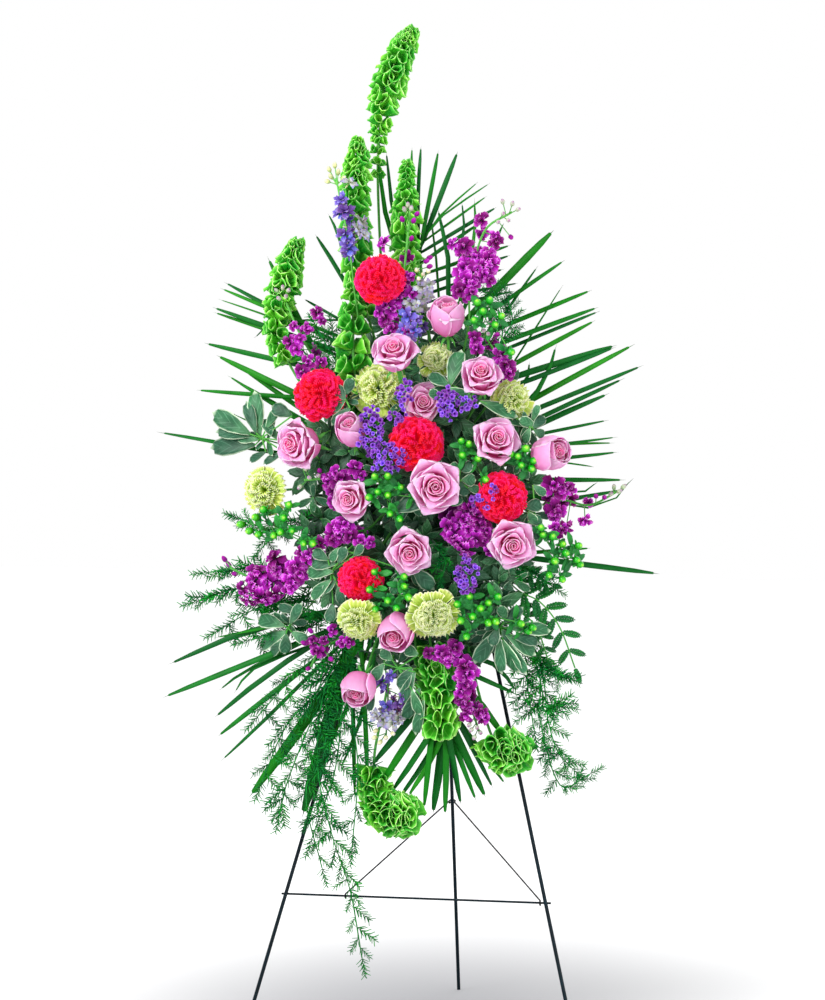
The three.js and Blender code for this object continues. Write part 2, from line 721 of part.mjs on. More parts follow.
const spikeForms = {
  bells: { columns: 9, lobe: 3, gap: 0.42, rise: 0.75, hollow: 0.4 },
  stock: { columns: 8, lobe: 2, gap: 0.66, rise: 0.45, hollow: 0.75, closing: 0.5 },
  statice: { columns: 8, lobe: 2, gap: 0.5, rise: 0.5, hollow: 0.8, closing: 0.5 },
  larkspur: { columns: 8, lobe: 2, gap: 0.45, rise: 0.35, hollow: 0.5, closing: 0.4 },
};

const bells = [
  {
    node: "bells_01",
    places: [[385, 300, 10], [371, 195, -10], [383, 100, -5], [408, 30, 0]],
    from: 0.34,
    whorls: 11,
    size: [72, 36],
  },
  {
    node: "bells_02",
    places: [[372, 330, 45], [357, 262, 52], [357, 142, 40]],
    from: 0.45,
    whorls: 8,
    size: [74, 44],
  },
  {
    node: "bells_03",
    places: [[408, 340, 30], [404, 255, 25], [407, 165, 15]],
    from: 0.5,
    whorls: 6,
    size: [60, 38],
  },
  {
    node: "bells_04",
    places: [[312, 400, 30], [277, 330, 40], [292, 242, 30]],
    from: 0.5,
    whorls: 6,
    size: [62, 40],
  },
  {
    node: "bells_05",
    places: [[372, 430, 70], [354, 385, 75], [352, 296, 60]],
    from: 0.5,
    whorls: 6,
    size: [66, 44],
  },
  {
    node: "bells_06",
    places: [[430, 640, 70], [437, 690, 105], [441, 738, 110]],
    from: 0.5,
    whorls: 5,
    size: [72, 56],
  },
  {
    node: "bells_07",
    places: [[478, 690, 50], [500, 745, 75], [517, 765, 80]],
    from: 0.66,
    whorls: 3,
    size: [66, 54],
  },
  {
    node: "bells_08",
    places: [[385, 700, 50], [377, 765, 60], [393, 822, 62]],
    from: 0.6,
    whorls: 4,
    size: [66, 54],
  },
];

function addBells() {
  for (const spike of bells) {
    const stem = addStem(spike.node, looks.bells, through(spike.places), 0, { lay: false });
    addSpike(spike.node, looks.bells, stem, spikeForms.bells, spike);
  }
}

const stocks = [
  {
    node: "stock_top",
    places: [[468, 330, 55], [470, 285, 60], [484, 232, 50], [512, 212, 40]],
    from: 0.4,
    whorls: 5,
    size: [62, 26],
  },
  {
    node: "stock_top",
    places: [[402, 360, 80], [401, 310, 92], [410, 242, 80]],
    from: 0.5,
    whorls: 4,
    size: [44, 20],
  },
  {
    node: "stock_top",
    places: [[490, 400, 70], [505, 365, 80], [488, 340, 70]],
    from: 0.6,
    whorls: 3,
    size: [46, 24],
  },
  {
    node: "stock_left",
    places: [[340, 390, 45], [308, 345, 60], [287, 300, 50]],
    from: 0.5,
    whorls: 4,
    size: [48, 18],
  },
  {
    node: "stock_left",
    places: [[360, 500, 60], [333, 477, 110], [308, 482, 115]],
    from: 0.6,
    whorls: 3,
    size: [48, 30],
  },
  {
    node: "stock_left",
    places: [[335, 560, 60], [300, 568, 80], [262, 583, 85], [230, 562, 75]],
    from: 0.5,
    whorls: 5,
    size: [68, 30],
  },
  {
    node: "stock_left",
    places: [[365, 530, 70], [330, 530, 120]],
    from: 0.62,
    whorls: 3,
    size: [50, 34],
  },
  {
    node: "stock_right",
    places: [[450, 515, 80], [466, 522, 130], [497, 540, 135]],
    from: 0.5,
    whorls: 4,
    size: [58, 36],
  },
  {
    node: "stock_right",
    places: [[530, 505, 50], [562, 500, 70], [590, 518, 60], [620, 492, 50]],
    from: 0.5,
    whorls: 5,
    size: [46, 18],
  },
  {
    node: "stock_bottom",
    places: [[350, 630, 60], [320, 652, 90], [316, 672, 95]],
    from: 0.7,
    whorls: 3,
    size: [40, 26],
  },
  {
    node: "stock_bottom",
    places: [[448, 640, 70], [463, 680, 95], [484, 736, 95]],
    from: 0.5,
    whorls: 5,
    size: [56, 28],
  },
];

function addStocks() {
  for (const spike of stocks) {
    const group = stocks.filter((s) => s.node === spike.node);
    const towards = through(group.map((s) => s.places[0]))
      .reduce((sum, p) => sum.add(p), vec())
      .divideScalar(group.length);
    const stem = addStem(spike.node, looks.stock, through(spike.places), -6, { towards, lay: false });
    addSpike(spike.node, looks.stock, stem, spikeForms.stock, spike);
  }
}

const larkspurs = [
  {
    node: "larkspur_top",
    places: [[362, 335, 75], [346, 245, 110], [336, 180, 92]],
    from: 0.5,
    whorls: 4,
    size: [36, 16],
  },
  {
    node: "larkspur_top",
    places: [[420, 360, 60], [416, 325, 90], [412, 298, 85]],
    from: 0.55,
    whorls: 3,
    size: [34, 20],
  },
  {
    node: "larkspur_low",
    places: [[385, 650, 70], [388, 690, 95], [394, 736, 95]],
    from: 0.55,
    whorls: 4,
    size: [34, 18],
  },
];

function addLarkspurs() {
  for (const spike of larkspurs) {
    const stem = addStem(spike.node, looks.larkspur, through(spike.places), 8, { lay: false });
    addSpike(spike.node, looks.larkspur, stem, spikeForms.larkspur, spike);
  }
}

const statices = [
  [383, 440, 12],
  [450, 404, 8],
  [467, 573, 8],
  [400, 392, 0],
];

function addStatices() {
  const node = "statice";
  for (const [across, down, forward] of statices) {
    const tip = spot([across, down], domeOut([across, down]) + forward);
    const low = tip.clone().lerp(focus, 0.12);
    const stem = addStem(node, looks.statice, [low, tip], 14, { lay: false });
    addSpike(node, looks.statice, stem, spikeForms.statice, { from: 0.86, whorls: 2, size: [26, 34] });
  }
}

// Berries on a forked stalk, with a pair of leaves under them.
const berries = [
  { node: "hypericum_left", at: [390, 497] },
  { node: "hypericum_left", at: [275, 522] },
  { node: "hypericum_left", at: [392, 602] },
  { node: "hypericum_right", at: [495, 322] },
  { node: "hypericum_right", at: [475, 465] },
  { node: "hypericum_right", at: [532, 470] },
  { node: "hypericum_low", at: [484, 618] },
  { node: "hypericum_low", at: [566, 560] },
];

function berry(size, reach) {
  const ring = (count, radius, h) =>
    Array.from({ length: count }, (_, j) => {
      const a = (2 * Math.PI * j) / count;
      return vec(radius * Math.cos(a), radius * Math.sin(a), h);
    });
  const rings = [ring(3, 1, reach), ring(4, size / 2, reach + size * 0.45)];
  return skin([[vec(0, 0, 0)], ...rings, [vec(0, 0, reach + size * 1.1)]]);
}

function addBerries() {
  for (const { node, at } of berries) {
    const tip = spot(at, domeOut(at) - 5);
    const low = tip.clone().lerp(focus, 0.14);
    const stem = addStem(node, looks.hypericum, [low, tip], 20, { radius: 1.8 });
    for (const { at: fork, way } of round(stem.route, 0.84, 0.99, 5, 0.8)) {
      const stalk = draw(14, 28);
      const ways = [1, 0.6].map((reach) => () => solid(stood(berry(11, stalk * reach), fork, way)));
      keepClear(node, looks.hypericum, ways);
    }
    const [{ at: joint, way }] = round(stem.route, 0.76, 0.82, 1, 0.3);
    keepLeaf(node, looks.hypericum, joint, way, 38, 13);
  }
}

// Leaf blade: three-sided in section, widest at a share of its length, bowed towards its face.
function blade(from, to, face, { width, thick, bow, widest = 0.5, rows = 2, foot = 0.25 }) {
  const along = to.clone().sub(from);
  const aside = along.clone().cross(face).normalize();
  const out = aside.clone().cross(along).normalize();
  const middle = from.clone().lerp(to, 0.5).addScaledVector(out, bow * along.length());
  const line = new THREE.QuadraticBezierCurve3(from, middle, to);
  const rings = Array.from({ length: rows }, (_, i) => {
    const t = i / rows;
    const rise = t < widest ? t / widest : (1 - t) / (1 - widest);
    const half = (width / 2) * (foot + (1 - foot) * Math.sin((rise * Math.PI) / 2));
    const at = line.getPoint(t);
    const edge = (side) => at.clone().addScaledVector(aside, side * half);
    const keel = at.clone().addScaledVector(out, -thick * (0.5 + 0.5 * (1 - t)));
    return [edge(-1), keel, edge(1)];
  });
  return solid(skin([...rings, [to.clone()]]));
}

function keepLeaf(node, look, at, way, length, width, bow = 0.12) {
  const front = vec(0, -1, 0.3);
  const ways = [0, 0.35, -0.35, 0.7].map((swing) => () => {
    const turned = way.clone().addScaledVector(front, swing).normalize();
    const tip = at.clone().addScaledVector(turned, length * (1 - 0.25 * Math.abs(swing)));
    const face = turned.clone().cross(vec(-turned.z, 0, turned.x)).cross(turned);
    const shown = face.lengthSq() > 0.01 ? front : vec(0, 0, 1);
    return blade(at, tip, shown, { width, thick: 1.8, bow, foot: 0.06 });
  });
  return keepClear(node, look, ways);
}

const rosettes = [
  { node: "pittosporum_upper", at: [236, 430], out: 45, leaves: 6, length: 68 },
  { node: "pittosporum_upper", at: [335, 408], leaves: 5, length: 52 },
  { node: "pittosporum_upper", at: [465, 365], leaves: 5, length: 58 },
  { node: "pittosporum_upper", at: [540, 420], leaves: 5, length: 52 },
  { node: "pittosporum_lower", at: [323, 575], leaves: 6, length: 62 },
  { node: "pittosporum_lower", at: [290, 640], leaves: 6, length: 66 },
  { node: "pittosporum_lower", at: [504, 634], leaves: 6, length: 66 },
  { node: "pittosporum_lower", at: [458, 505], leaves: 4, length: 50 },
];

function addRosettes() {
  for (const { node, at, out = domeOut(at) - 20, leaves, length } of rosettes) {
    const tip = spot(at, out);
    const low = tip.clone().lerp(focus, 0.12);
    const stem = addStem(node, looks.pittosporum, [low, tip], 24, { radius: 1.9 });
    for (const { at: joint, way } of round(stem.route, 0.9, 0.995, leaves, 0.28)) {
      keepLeaf(node, looks.pittosporum, joint, way, length * draw(0.85, 1.1), 0.34 * length);
    }
  }
}

// Palm fans: blades that spread from a hub behind the flowers to tips seen in the photograph.
const palmFans = [
  {
    node: "palm_fans_right",
    hub: [452, 300, 10],
    tips: [
      [412, 148], [438, 150], [458, 151], [463, 200], [476, 199], [489, 183], [498, 205],
      [554, 230], [511, 245],
    ],
    out: -10,
    width: 10,
  },
  {
    node: "palm_fans_right",
    hub: [505, 385, 15],
    tips: [
      [564, 260], [537, 268], [520, 284], [591, 290], [599, 308], [595, 319], [634, 343],
      [611, 345], [643, 364], [623, 377],
    ],
    out: -5,
    width: 11,
  },
  {
    node: "palm_fans_right",
    hub: [520, 440, 15],
    tips: [
      [609, 392], [609, 419], [617, 436], [617, 451], [593, 466], [624, 479], [597, 488],
      [660, 574],
    ],
    out: 0,
    width: 11,
  },
  {
    node: "palm_fans_left",
    hub: [330, 380, 10],
    tips: [
      [318, 236], [267, 256], [224, 282], [214, 303], [204, 343], [216, 357], [227, 375],
    ],
    out: -10,
    width: 11,
  },
  {
    node: "palm_fans_left",
    hub: [310, 450, 15],
    tips: [
      [195, 390], [157, 432], [212, 408],
    ],
    out: 0,
    width: 10,
  },
  {
    node: "palm_fans_low",
    hub: [345, 610, 30],
    tips: [
      [167, 664], [160, 698], [213, 688], [213, 718], [218, 745], [250, 800], [303, 818],
      [355, 798],
    ],
    out: 45,
    width: 13,
  },
  {
    node: "palm_fans_low",
    hub: [437, 712, 62],
    tips: [
      [392, 792], [407, 803], [423, 809], [434, 814], [446, 816], [461, 805], [477, 803],
      [494, 792], [507, 783],
    ],
    out: 60,
    width: 13,
  },
];

// A fan is one thin sheet: a hub point, and for each blade its widest place, its tip and a notch.
function fanSheet(centre, blades, thick) {
  const middle = blades.reduce((sum, { tip }) => sum.add(tip.clone().sub(centre).normalize()), vec());
  const beside = lookAhead.clone().cross(middle);
  const flat = blades.map(({ tip, width }) => {
    const along = tip.clone().sub(centre);
    const turn = Math.atan2(along.dot(beside), along.dot(middle));
    return { tip, width, along, turn };
  });
  flat.sort((a, b) => a.turn - b.turn);
  const widest = 0.35;
  const outline = [centre.clone()];
  flat.forEach(({ tip, width, along, turn }, i) => {
    const reach = along.length();
    const gaps = [flat[i - 1], flat[i + 1]].filter(Boolean).map((next) => Math.abs(next.turn - turn));
    const half = Math.min(width / 2, 0.45 * Math.min(...gaps, 1) * reach * widest);
    const aside = lookAhead.clone().cross(along).normalize();
    const at = centre.clone().addScaledVector(along, widest);
    outline.push(at.clone().addScaledVector(aside, -half), tip, at.clone().addScaledVector(aside, half));
    const next = flat[i + 1];
    if (!next) return;
    const notch = along.clone().normalize().add(next.along.clone().normalize()).setLength(14);
    outline.push(centre.clone().add(notch));
  });
  const away = lookAhead.clone().multiplyScalar(thick / 2);
  const count = outline.length;
  const places = [...outline.map((p) => p.clone().sub(away)), ...outline.map((p) => p.clone().add(away))];
  const faces = [];
  for (let j = 1; j < count - 1; j++) {
    const isTip = (j - 1) % 4 === 0;
    const isAfterTip = (j - 1) % 4 === 1;
    if (isTip) faces.push(j, j + 1, j + 2, count + j + 2, count + j + 1, count + j);
    const next = isTip ? j + 2 : j + 1;
    if (!isAfterTip) faces.push(0, j, next, count + next, count + j, count);
  }
  for (let j = 0; j < count; j++) {
    const k = (j + 1) % count;
    faces.push(j, count + j, k, k, count + j, count + k);
  }
  const geometry = new THREE.BufferGeometry().setFromPoints(places);
  geometry.setIndex(faces);
  return solid(geometry);
}

function addPalms() {
  for (const { node, hub, tips, out, width } of palmFans) {
    const centre = spot(hub, hub[2]);
    const stalkBase = centre.clone().lerp(focus, 0.08);
    addStem(node, looks.palm, [stalkBase, centre], 33, { radius: 2.4 });
    const blades = [];
    for (const place of tips) {
      const tries = [0, 12, -12, 25, -25, 40].map((shift) => spot(place, out + shift));
      const tip = tries.find((end) => {
        const start = centre.clone().lerp(end, 0.06);
        const trial = blade(start, end, vec(0, -1, 0), { width, thick: 1.6, bow: 0 });
        return isClear(trial, node, { asSibling: true });
      });
      if (tip) blades.push({ tip, width });
    }
    const sheet = fanSheet(centre, blades, 1.2);
    if (!isClear(sheet, node)) throw new Error(node + " meets a neighbour");
    keep(node, looks.palm, sheet);
  }
}

// Flat twigs with needles on both sides, each needle a spike of the twig's outline.
function twig(length, needles, reach) {
  const points = [];
  const step = length / needles;
  for (const side of [1, -1]) {
    const row = [];
    for (let i = 0; i < needles; i++) {
      const x = i ? (i + 0.15) * step : -0.3;
      const swell = Math.sin(Math.PI * (0.25 + (0.7 * (i + 0.5)) / needles));
      row.push([x, side * 0.8], [x + step * 0.9, side * reach * swell]);
    }
    if (side < 0) row.reverse();
    points.push(...row);
    if (side > 0) points.push([length + reach * 0.5, 0]);
  }
  const shape = new THREE.Shape(points.map(([x, y]) => new THREE.Vector2(x, y)));
  return new THREE.ExtrudeGeometry(shape, { depth: 0.9, bevelEnabled: false }).translate(0, 0, -0.45);
}

const trails = [
  {
    node: "asparagus_trail",
    places: [[345, 640, 60], [318, 690, 85], [322, 790, 88], [352, 880, 86], [365, 955, 84]],
    twigs: 7,
    from: 0.3,
    needles: 3,
  },
  {
    node: "asparagus_trail",
    places: [[350, 640, 50], [300, 700, 80], [292, 780, 84]],
    twigs: 3,
    from: 0.5,
    needles: 3,
  },
  {
    node: "asparagus_sides",
    places: [[290, 600, 40], [240, 605, 50], [205, 612, 50]],
    twigs: 3,
    from: 0.5,
    needles: 3,
  },
  {
    node: "asparagus_sides",
    places: [[540, 640, 40], [560, 700, 70], [583, 768, 75]],
    twigs: 4,
    from: 0.5,
    needles: 3,
  },
];

function addTrails() {
  for (const { node, places, twigs, from, needles } of trails) {
    const stem = addStem(node, looks.asparagus, through(places), 30, { radius: 1.5 });
    for (const { at, way } of round(stem.route, from, 0.99, twigs, 1.0)) {
      const flat = vec(way.x, way.y * 0.35, way.z).normalize();
      const ways = [0, 0.4, -0.4].map((swing) => () => {
        const along = flat.clone().add(vec(0, -swing, 0)).normalize();
        return solid(faced(twig(62, needles, 16), at, along, vec(0.2, -1, 0.15)));
      });
      keepClear(node, looks.asparagus, ways);
    }
  }
}

const ferns = [
  { places: [[530, 590, 50], [560, 615, 70], [574, 668, 72]], pinnae: 7, from: 0.5 },
];

function addFerns() {
  const node = "leatherleaf";
  for (const { places, pinnae, from } of ferns) {
    const stem = addStem(node, looks.leatherleaf, through(places), 26, { radius: 1.6 });
    for (const { at, way, share } of round(stem.route, from, 0.98, pinnae, 0.7, Math.PI)) {
      const flat = vec(way.x, way.y * 0.2, way.z).normalize();
      const size = 52 * (1 - 0.55 * share);
      const ways = [0, 0.4, -0.4].map((swing) => () => {
        const along = flat.clone().add(vec(0, -swing, 0)).normalize();
        return solid(faced(twig(size, 3, size * 0.24), at, along, vec(0.2, -1, 0.1)));
      });
      keepClear(node, looks.leatherleaf, ways);
    }
  }
}

addEasel();
addFoldSpace();
const cage = cageShell();
const brick = foamBrick();
remember("cage", cage);
remember("foam", brick);
const heads = [
  ...placeHeads(roses, "rose", looks.rose, forms.rose),
  ...placeHeads(hotCarnations, "hot_carnation", looks.hotCarnation, forms.carnation),
  ...placeHeads(limeCarnations, "lime_carnation", looks.limeCarnation, forms.carnation),
];
addBlooms(heads, -22);
addBells();
addStocks();
addLarkspurs();
addStatices();
addBerries();
addFerns();
addRosettes();
addPalms();
addTrails();

pieces.set("foam_block", { look: looks.foam, solids: [brick.subtract(joined(holes))] });
pieces.set("foam_cage", { look: looks.plastic, solids: [cage] });

// Every node's solids are joined into one body, and the whole stands on the middle of its box.
const spray = new THREE.Group();
const moved = new THREE.Group();
spray.add(moved);
for (const [name, { look, solids }] of pieces) {
  const material = new THREE.MeshStandardMaterial(look);
  const mesh = new THREE.Mesh(geometryOf(largest(joined(solids))), material);
  mesh.name = name;
  moved.add(mesh);
}
const bounds = new THREE.Box3().setFromObject(moved, true);
const middle = bounds.getCenter(vec());
moved.position.set(-middle.x, -middle.y, -bounds.min.z);
spray.updateMatrixWorld(true);

export default spray;
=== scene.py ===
# Standing funeral spray on a folding wire easel: the finished look over its CAD frame.
import math
import random

import bpy
import numpy as np
from mathutils import Matrix, Vector


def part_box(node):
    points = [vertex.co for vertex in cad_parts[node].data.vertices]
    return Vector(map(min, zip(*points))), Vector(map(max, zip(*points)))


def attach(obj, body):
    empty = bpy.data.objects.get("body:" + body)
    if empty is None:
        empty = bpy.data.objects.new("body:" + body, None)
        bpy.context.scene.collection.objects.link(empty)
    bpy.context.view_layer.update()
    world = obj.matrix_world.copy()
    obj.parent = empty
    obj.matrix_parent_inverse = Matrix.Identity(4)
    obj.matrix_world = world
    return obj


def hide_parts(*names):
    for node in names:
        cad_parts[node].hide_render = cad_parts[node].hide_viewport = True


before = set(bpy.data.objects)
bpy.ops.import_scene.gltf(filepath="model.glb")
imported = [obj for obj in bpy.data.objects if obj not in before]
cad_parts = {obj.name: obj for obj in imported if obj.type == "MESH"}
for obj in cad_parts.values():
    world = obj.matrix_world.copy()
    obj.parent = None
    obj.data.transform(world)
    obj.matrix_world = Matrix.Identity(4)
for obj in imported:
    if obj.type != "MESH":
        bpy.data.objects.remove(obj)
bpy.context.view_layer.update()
chance = random.Random(20260)
print("frame loaded,", len(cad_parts), "nodes")

# Places. The work is in the millimetres of the CAD source, and gather() takes it to the frame's metres.
mm = 0.001
goldenAngle = 2.39996  # from one to the next in a spiral head, in radians
fullTurn = 6.283  # in radians, near enough for the waves of veins
picture = {
    "middle": (412.5, 500.0), "scale": 1.6,  # in pixels, and the millimetres in one of them
    "depth": 100.0, "eyeDistance": 5000.0, "eyeHeight": 847.0, "aside": -23.0,
    "turn": math.radians(9.5), "roll": math.radians(0.85),
}
dome = {"middle": (425, 490), "across": 190, "down": 330, "rim": 45, "crown": 125, "focus": -330}
easel = {"leanBack": 190.0, "legTop": 1016.474, "lean": math.radians(10.5876), "pin": (0.0, 196.193, 1015.317)}
foam = {
    "middle": (0.0, -51.6, -150.0), "half": (68.0, 53.0, 148.0),  # half sizes with 8 mm of room
    "across": 0.2, "upwards": 0.17, "highest": 118.0,  # how the roots of the stems close up in it
}
stems = {  # how far each kind is rooted behind the middle of the foam, and the radius of its stems
    "rose": (-22, 2.3), "carnation": (-22, 2.2), "bells": (0, 2.2), "stock": (-6, 1.9), "larkspur": (8, 1.5),
    "statice": (14, 0.8), "hypericum": (20, 0.9), "pittosporum": (24, 1.3), "filler": (26, 1.6),
    "leatherleaf": (26, 1.2), "asparagus": (30, 1.0), "palm": (33, 2.4),
}

pinLow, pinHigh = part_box("easel_pivot_pin")
shift = (pinLow + pinHigh) / 2 - Vector(easel["pin"]) * mm
lookAcross = Vector((math.cos(picture["turn"]), math.sin(picture["turn"]), 0))
lookAhead = Vector((-math.sin(picture["turn"]), math.cos(picture["turn"]), 0))
origin, ahead, up = Vector((0, 0, 0)), Vector((0, 1, 0)), Vector((0, 0, 1))
eye = Vector((picture["aside"], picture["depth"], picture["eyeHeight"])) - lookAhead * picture["eyeDistance"]


def spot(across, down, out=0.0):  # the point seen at a place in the picture, so far in front of the foam
    u = across - picture["middle"][0]
    v = down - picture["middle"][1]
    right = u * math.cos(picture["roll"]) + v * math.sin(picture["roll"])
    below = v * math.cos(picture["roll"]) - u * math.sin(picture["roll"])
    ray = lookAhead * (picture["eyeDistance"] / picture["scale"]) + lookAcross * right - up * below
    return eye + ray * ((picture["depth"] - out - eye.y) / ray.y)


def spots(places):
    return [spot(*place) for place in places]


def domeOut(across, down):  # how far out the blooms are there
    u = (across - dome["middle"][0]) / dome["across"]
    v = (down - dome["middle"][1]) / dome["down"]
    return dome["rim"] + dome["crown"] * math.sqrt(max(0.0, 1 - u * u - v * v))


focus = spot(*dome["middle"], dome["focus"])  # where all stems point


def leaning(x, y, z):  # from the frame of the easel's leaning front legs
    c, s = math.cos(easel["lean"]), math.sin(easel["lean"])
    return Vector((x, easel["leanBack"] + y * c + z * s, easel["legTop"] - y * s + z * c))


def unleaning(p):
    c, s = math.cos(easel["lean"]), math.sin(easel["lean"])
    y, z = p.y - easel["leanBack"], p.z - easel["legTop"]
    return Vector((p.x, y * c - z * s, y * s + z * c))


foamCentre = leaning(*foam["middle"])


def rootOf(place, depth):
    rise = max(-foam["highest"], min(foam["highest"], (place.z - foamCentre.z) * foam["upwards"]))
    return leaning(place.x * foam["across"], foam["middle"][1] + depth, foam["middle"][2] + rise)


def kneeOf(root, towards):  # where a stem leaves the foam
    start = unleaning(root) - Vector(foam["middle"])
    way = unleaning(towards) - Vector(foam["middle"]) - start
    shares = [0.7]  # no later than this
    for step, begun, half in zip(way, start, foam["half"]):
        if abs(step) > 1e-6:
            shares.append((math.copysign(half, step) - begun) / step)
    return root.lerp(towards, min(shares))


def smoothLine(points, steps=6):  # a curve through points, evenly stepped between each two
    ends = [points[0] * 2 - points[1], *points, points[-1] * 2 - points[-2]]
    line = []
    for i in range(len(points) - 1):
        a, b, c, d = ends[i:i + 4]
        for k in range(steps):
            t = k / steps
            rest = (a * 2 - b * 5 + c * 4 - d) * t ** 2 + (b * 3 - a - c * 3 + d) * t ** 3
            line.append((b * 2 + (c - a) * t + rest) / 2)
    return [*line, points[-1].copy()]


def onLine(line, t):  # the point at a share of a line, and its direction there
    place = min(max(t, 0.0), 0.9999) * (len(line) - 1)
    i = int(place)
    return line[i].lerp(line[i + 1], place - i), (line[i + 1] - line[i]).normalized()


def stemThrough(places, kind):  # straight in the foam, curved outside it
    root = rootOf(places[0], stems[kind][0])
    return [root, *smoothLine([kneeOf(root, places[0]), *places])]


# Camera, lights and world
def addCamera():
    roll = picture["roll"]
    x = lookAcross * math.cos(roll) + up * math.sin(roll)
    y = up * math.cos(roll) - lookAcross * math.sin(roll)
    bpy.ops.object.camera_add(location=(0, 0, 0))
    camera = bpy.context.object
    camera.name = "camera"
    camera.data.sensor_fit = "VERTICAL"
    camera.data.sensor_height = 36.0
    camera.data.lens = 112.5
    turn = Matrix((x, y, -lookAhead)).transposed()
    camera.matrix_world = Matrix.Translation(eye * mm + shift) @ turn.to_4x4()
    bpy.context.scene.camera = camera


lights = {
    "keySoftbox": {"place": (-1.9, -3.0, 2.7), "aim": (0.0, 0.0, 0.85), "size": 1.8, "power": 130},
    "fillSoftbox": {"place": (2.6, -2.8, 1.3), "aim": (0.0, 0.0, 0.8), "size": 2.2, "power": 45},
    "backSoftbox": {"place": (0.6, 2.6, 2.8), "aim": (0.0, 0.0, 0.9), "size": 2.0, "power": 30},
}


def addLights():
    for name, light in lights.items():
        place = Vector(light["place"])
        bpy.ops.object.light_add(type="AREA", location=place)
        lamp = bpy.context.object
        lamp.name = name
        lamp.data.size = light["size"]
        lamp.data.energy = light["power"]
        lamp.rotation_euler = (Vector(light["aim"]) - place).to_track_quat("-Z", "Y").to_euler()


def addWorld():
    world = bpy.data.worlds.new("whiteStudio")
    world.use_nodes = True
    world.node_tree.nodes["Background"].inputs["Color"].default_value = (1, 1, 1, 1)
    world.node_tree.nodes["Background"].inputs["Strength"].default_value = 1.0
    bpy.context.scene.world = world
    bpy.context.scene.view_settings.view_transform = "Standard"


# Materials
def linear(hexCode):
    parts = [int(hexCode[i:i + 2], 16) / 255 for i in (1, 3, 5)]
    return [p / 12.92 if p <= 0.04045 else ((p + 0.055) / 1.055) ** 2.4 for p in parts] + [1.0]


def addNode(tree, kind, settings=None, links=None):
    node = tree.nodes.new(kind)
    for name, value in (settings or {}).items():
        setattr(node, name, value)
    for socket, value in (links or {}).items():
        if isinstance(value, bpy.types.NodeSocket):
            tree.links.new(value, node.inputs[socket])
        else:
            node.inputs[socket].default_value = value
    return node


def newSurface(name, shaderSettings):
    material = bpy.data.materials.new(name)
    material.use_nodes = True
    shader = material.node_tree.nodes["Principled BSDF"]
    for socket, value in shaderSettings.items():
        shader.inputs[socket].default_value = value
    return material, material.node_tree, shader


def calc(tree, operation, *values):
    return addNode(tree, "ShaderNodeMath", {"operation": operation}, dict(enumerate(values))).outputs[0]


def ranged(tree, value, start, end, low, high, ease="LINEAR"):
    ends = {0: value, 1: start, 2: end, 3: low, 4: high}
    return addNode(tree, "ShaderNodeMapRange", {"interpolation_type": ease}, ends).outputs[0]


def blended(tree, amount, under, over):
    return addNode(tree, "ShaderNodeMix", {"data_type": "RGBA"}, {0: amount, 6: under, 7: over}).outputs[2]


def ramped(tree, value, stops):
    ramp = addNode(tree, "ShaderNodeValToRGB", links={0: value})
    elements = ramp.color_ramp.elements
    while len(elements) < len(stops):
        elements.new(0.5)
    for element, (place, colour) in zip(elements, stops):
        element.position = place
        element.color = linear(colour)
    return ramp.outputs[0]


def noise(tree, scale, detail):
    place = addNode(tree, "ShaderNodeTexCoord").outputs["Object"]
    return addNode(tree, "ShaderNodeTexNoise", links={"Vector": place, "Scale": scale, "Detail": detail}).outputs[0]


def bumped(tree, shader, strength, distance, height):
    bump = addNode(tree, "ShaderNodeBump", links={"Strength": strength, "Distance": distance, "Height": height})
    tree.links.new(bump.outputs[0], shader.inputs["Normal"])


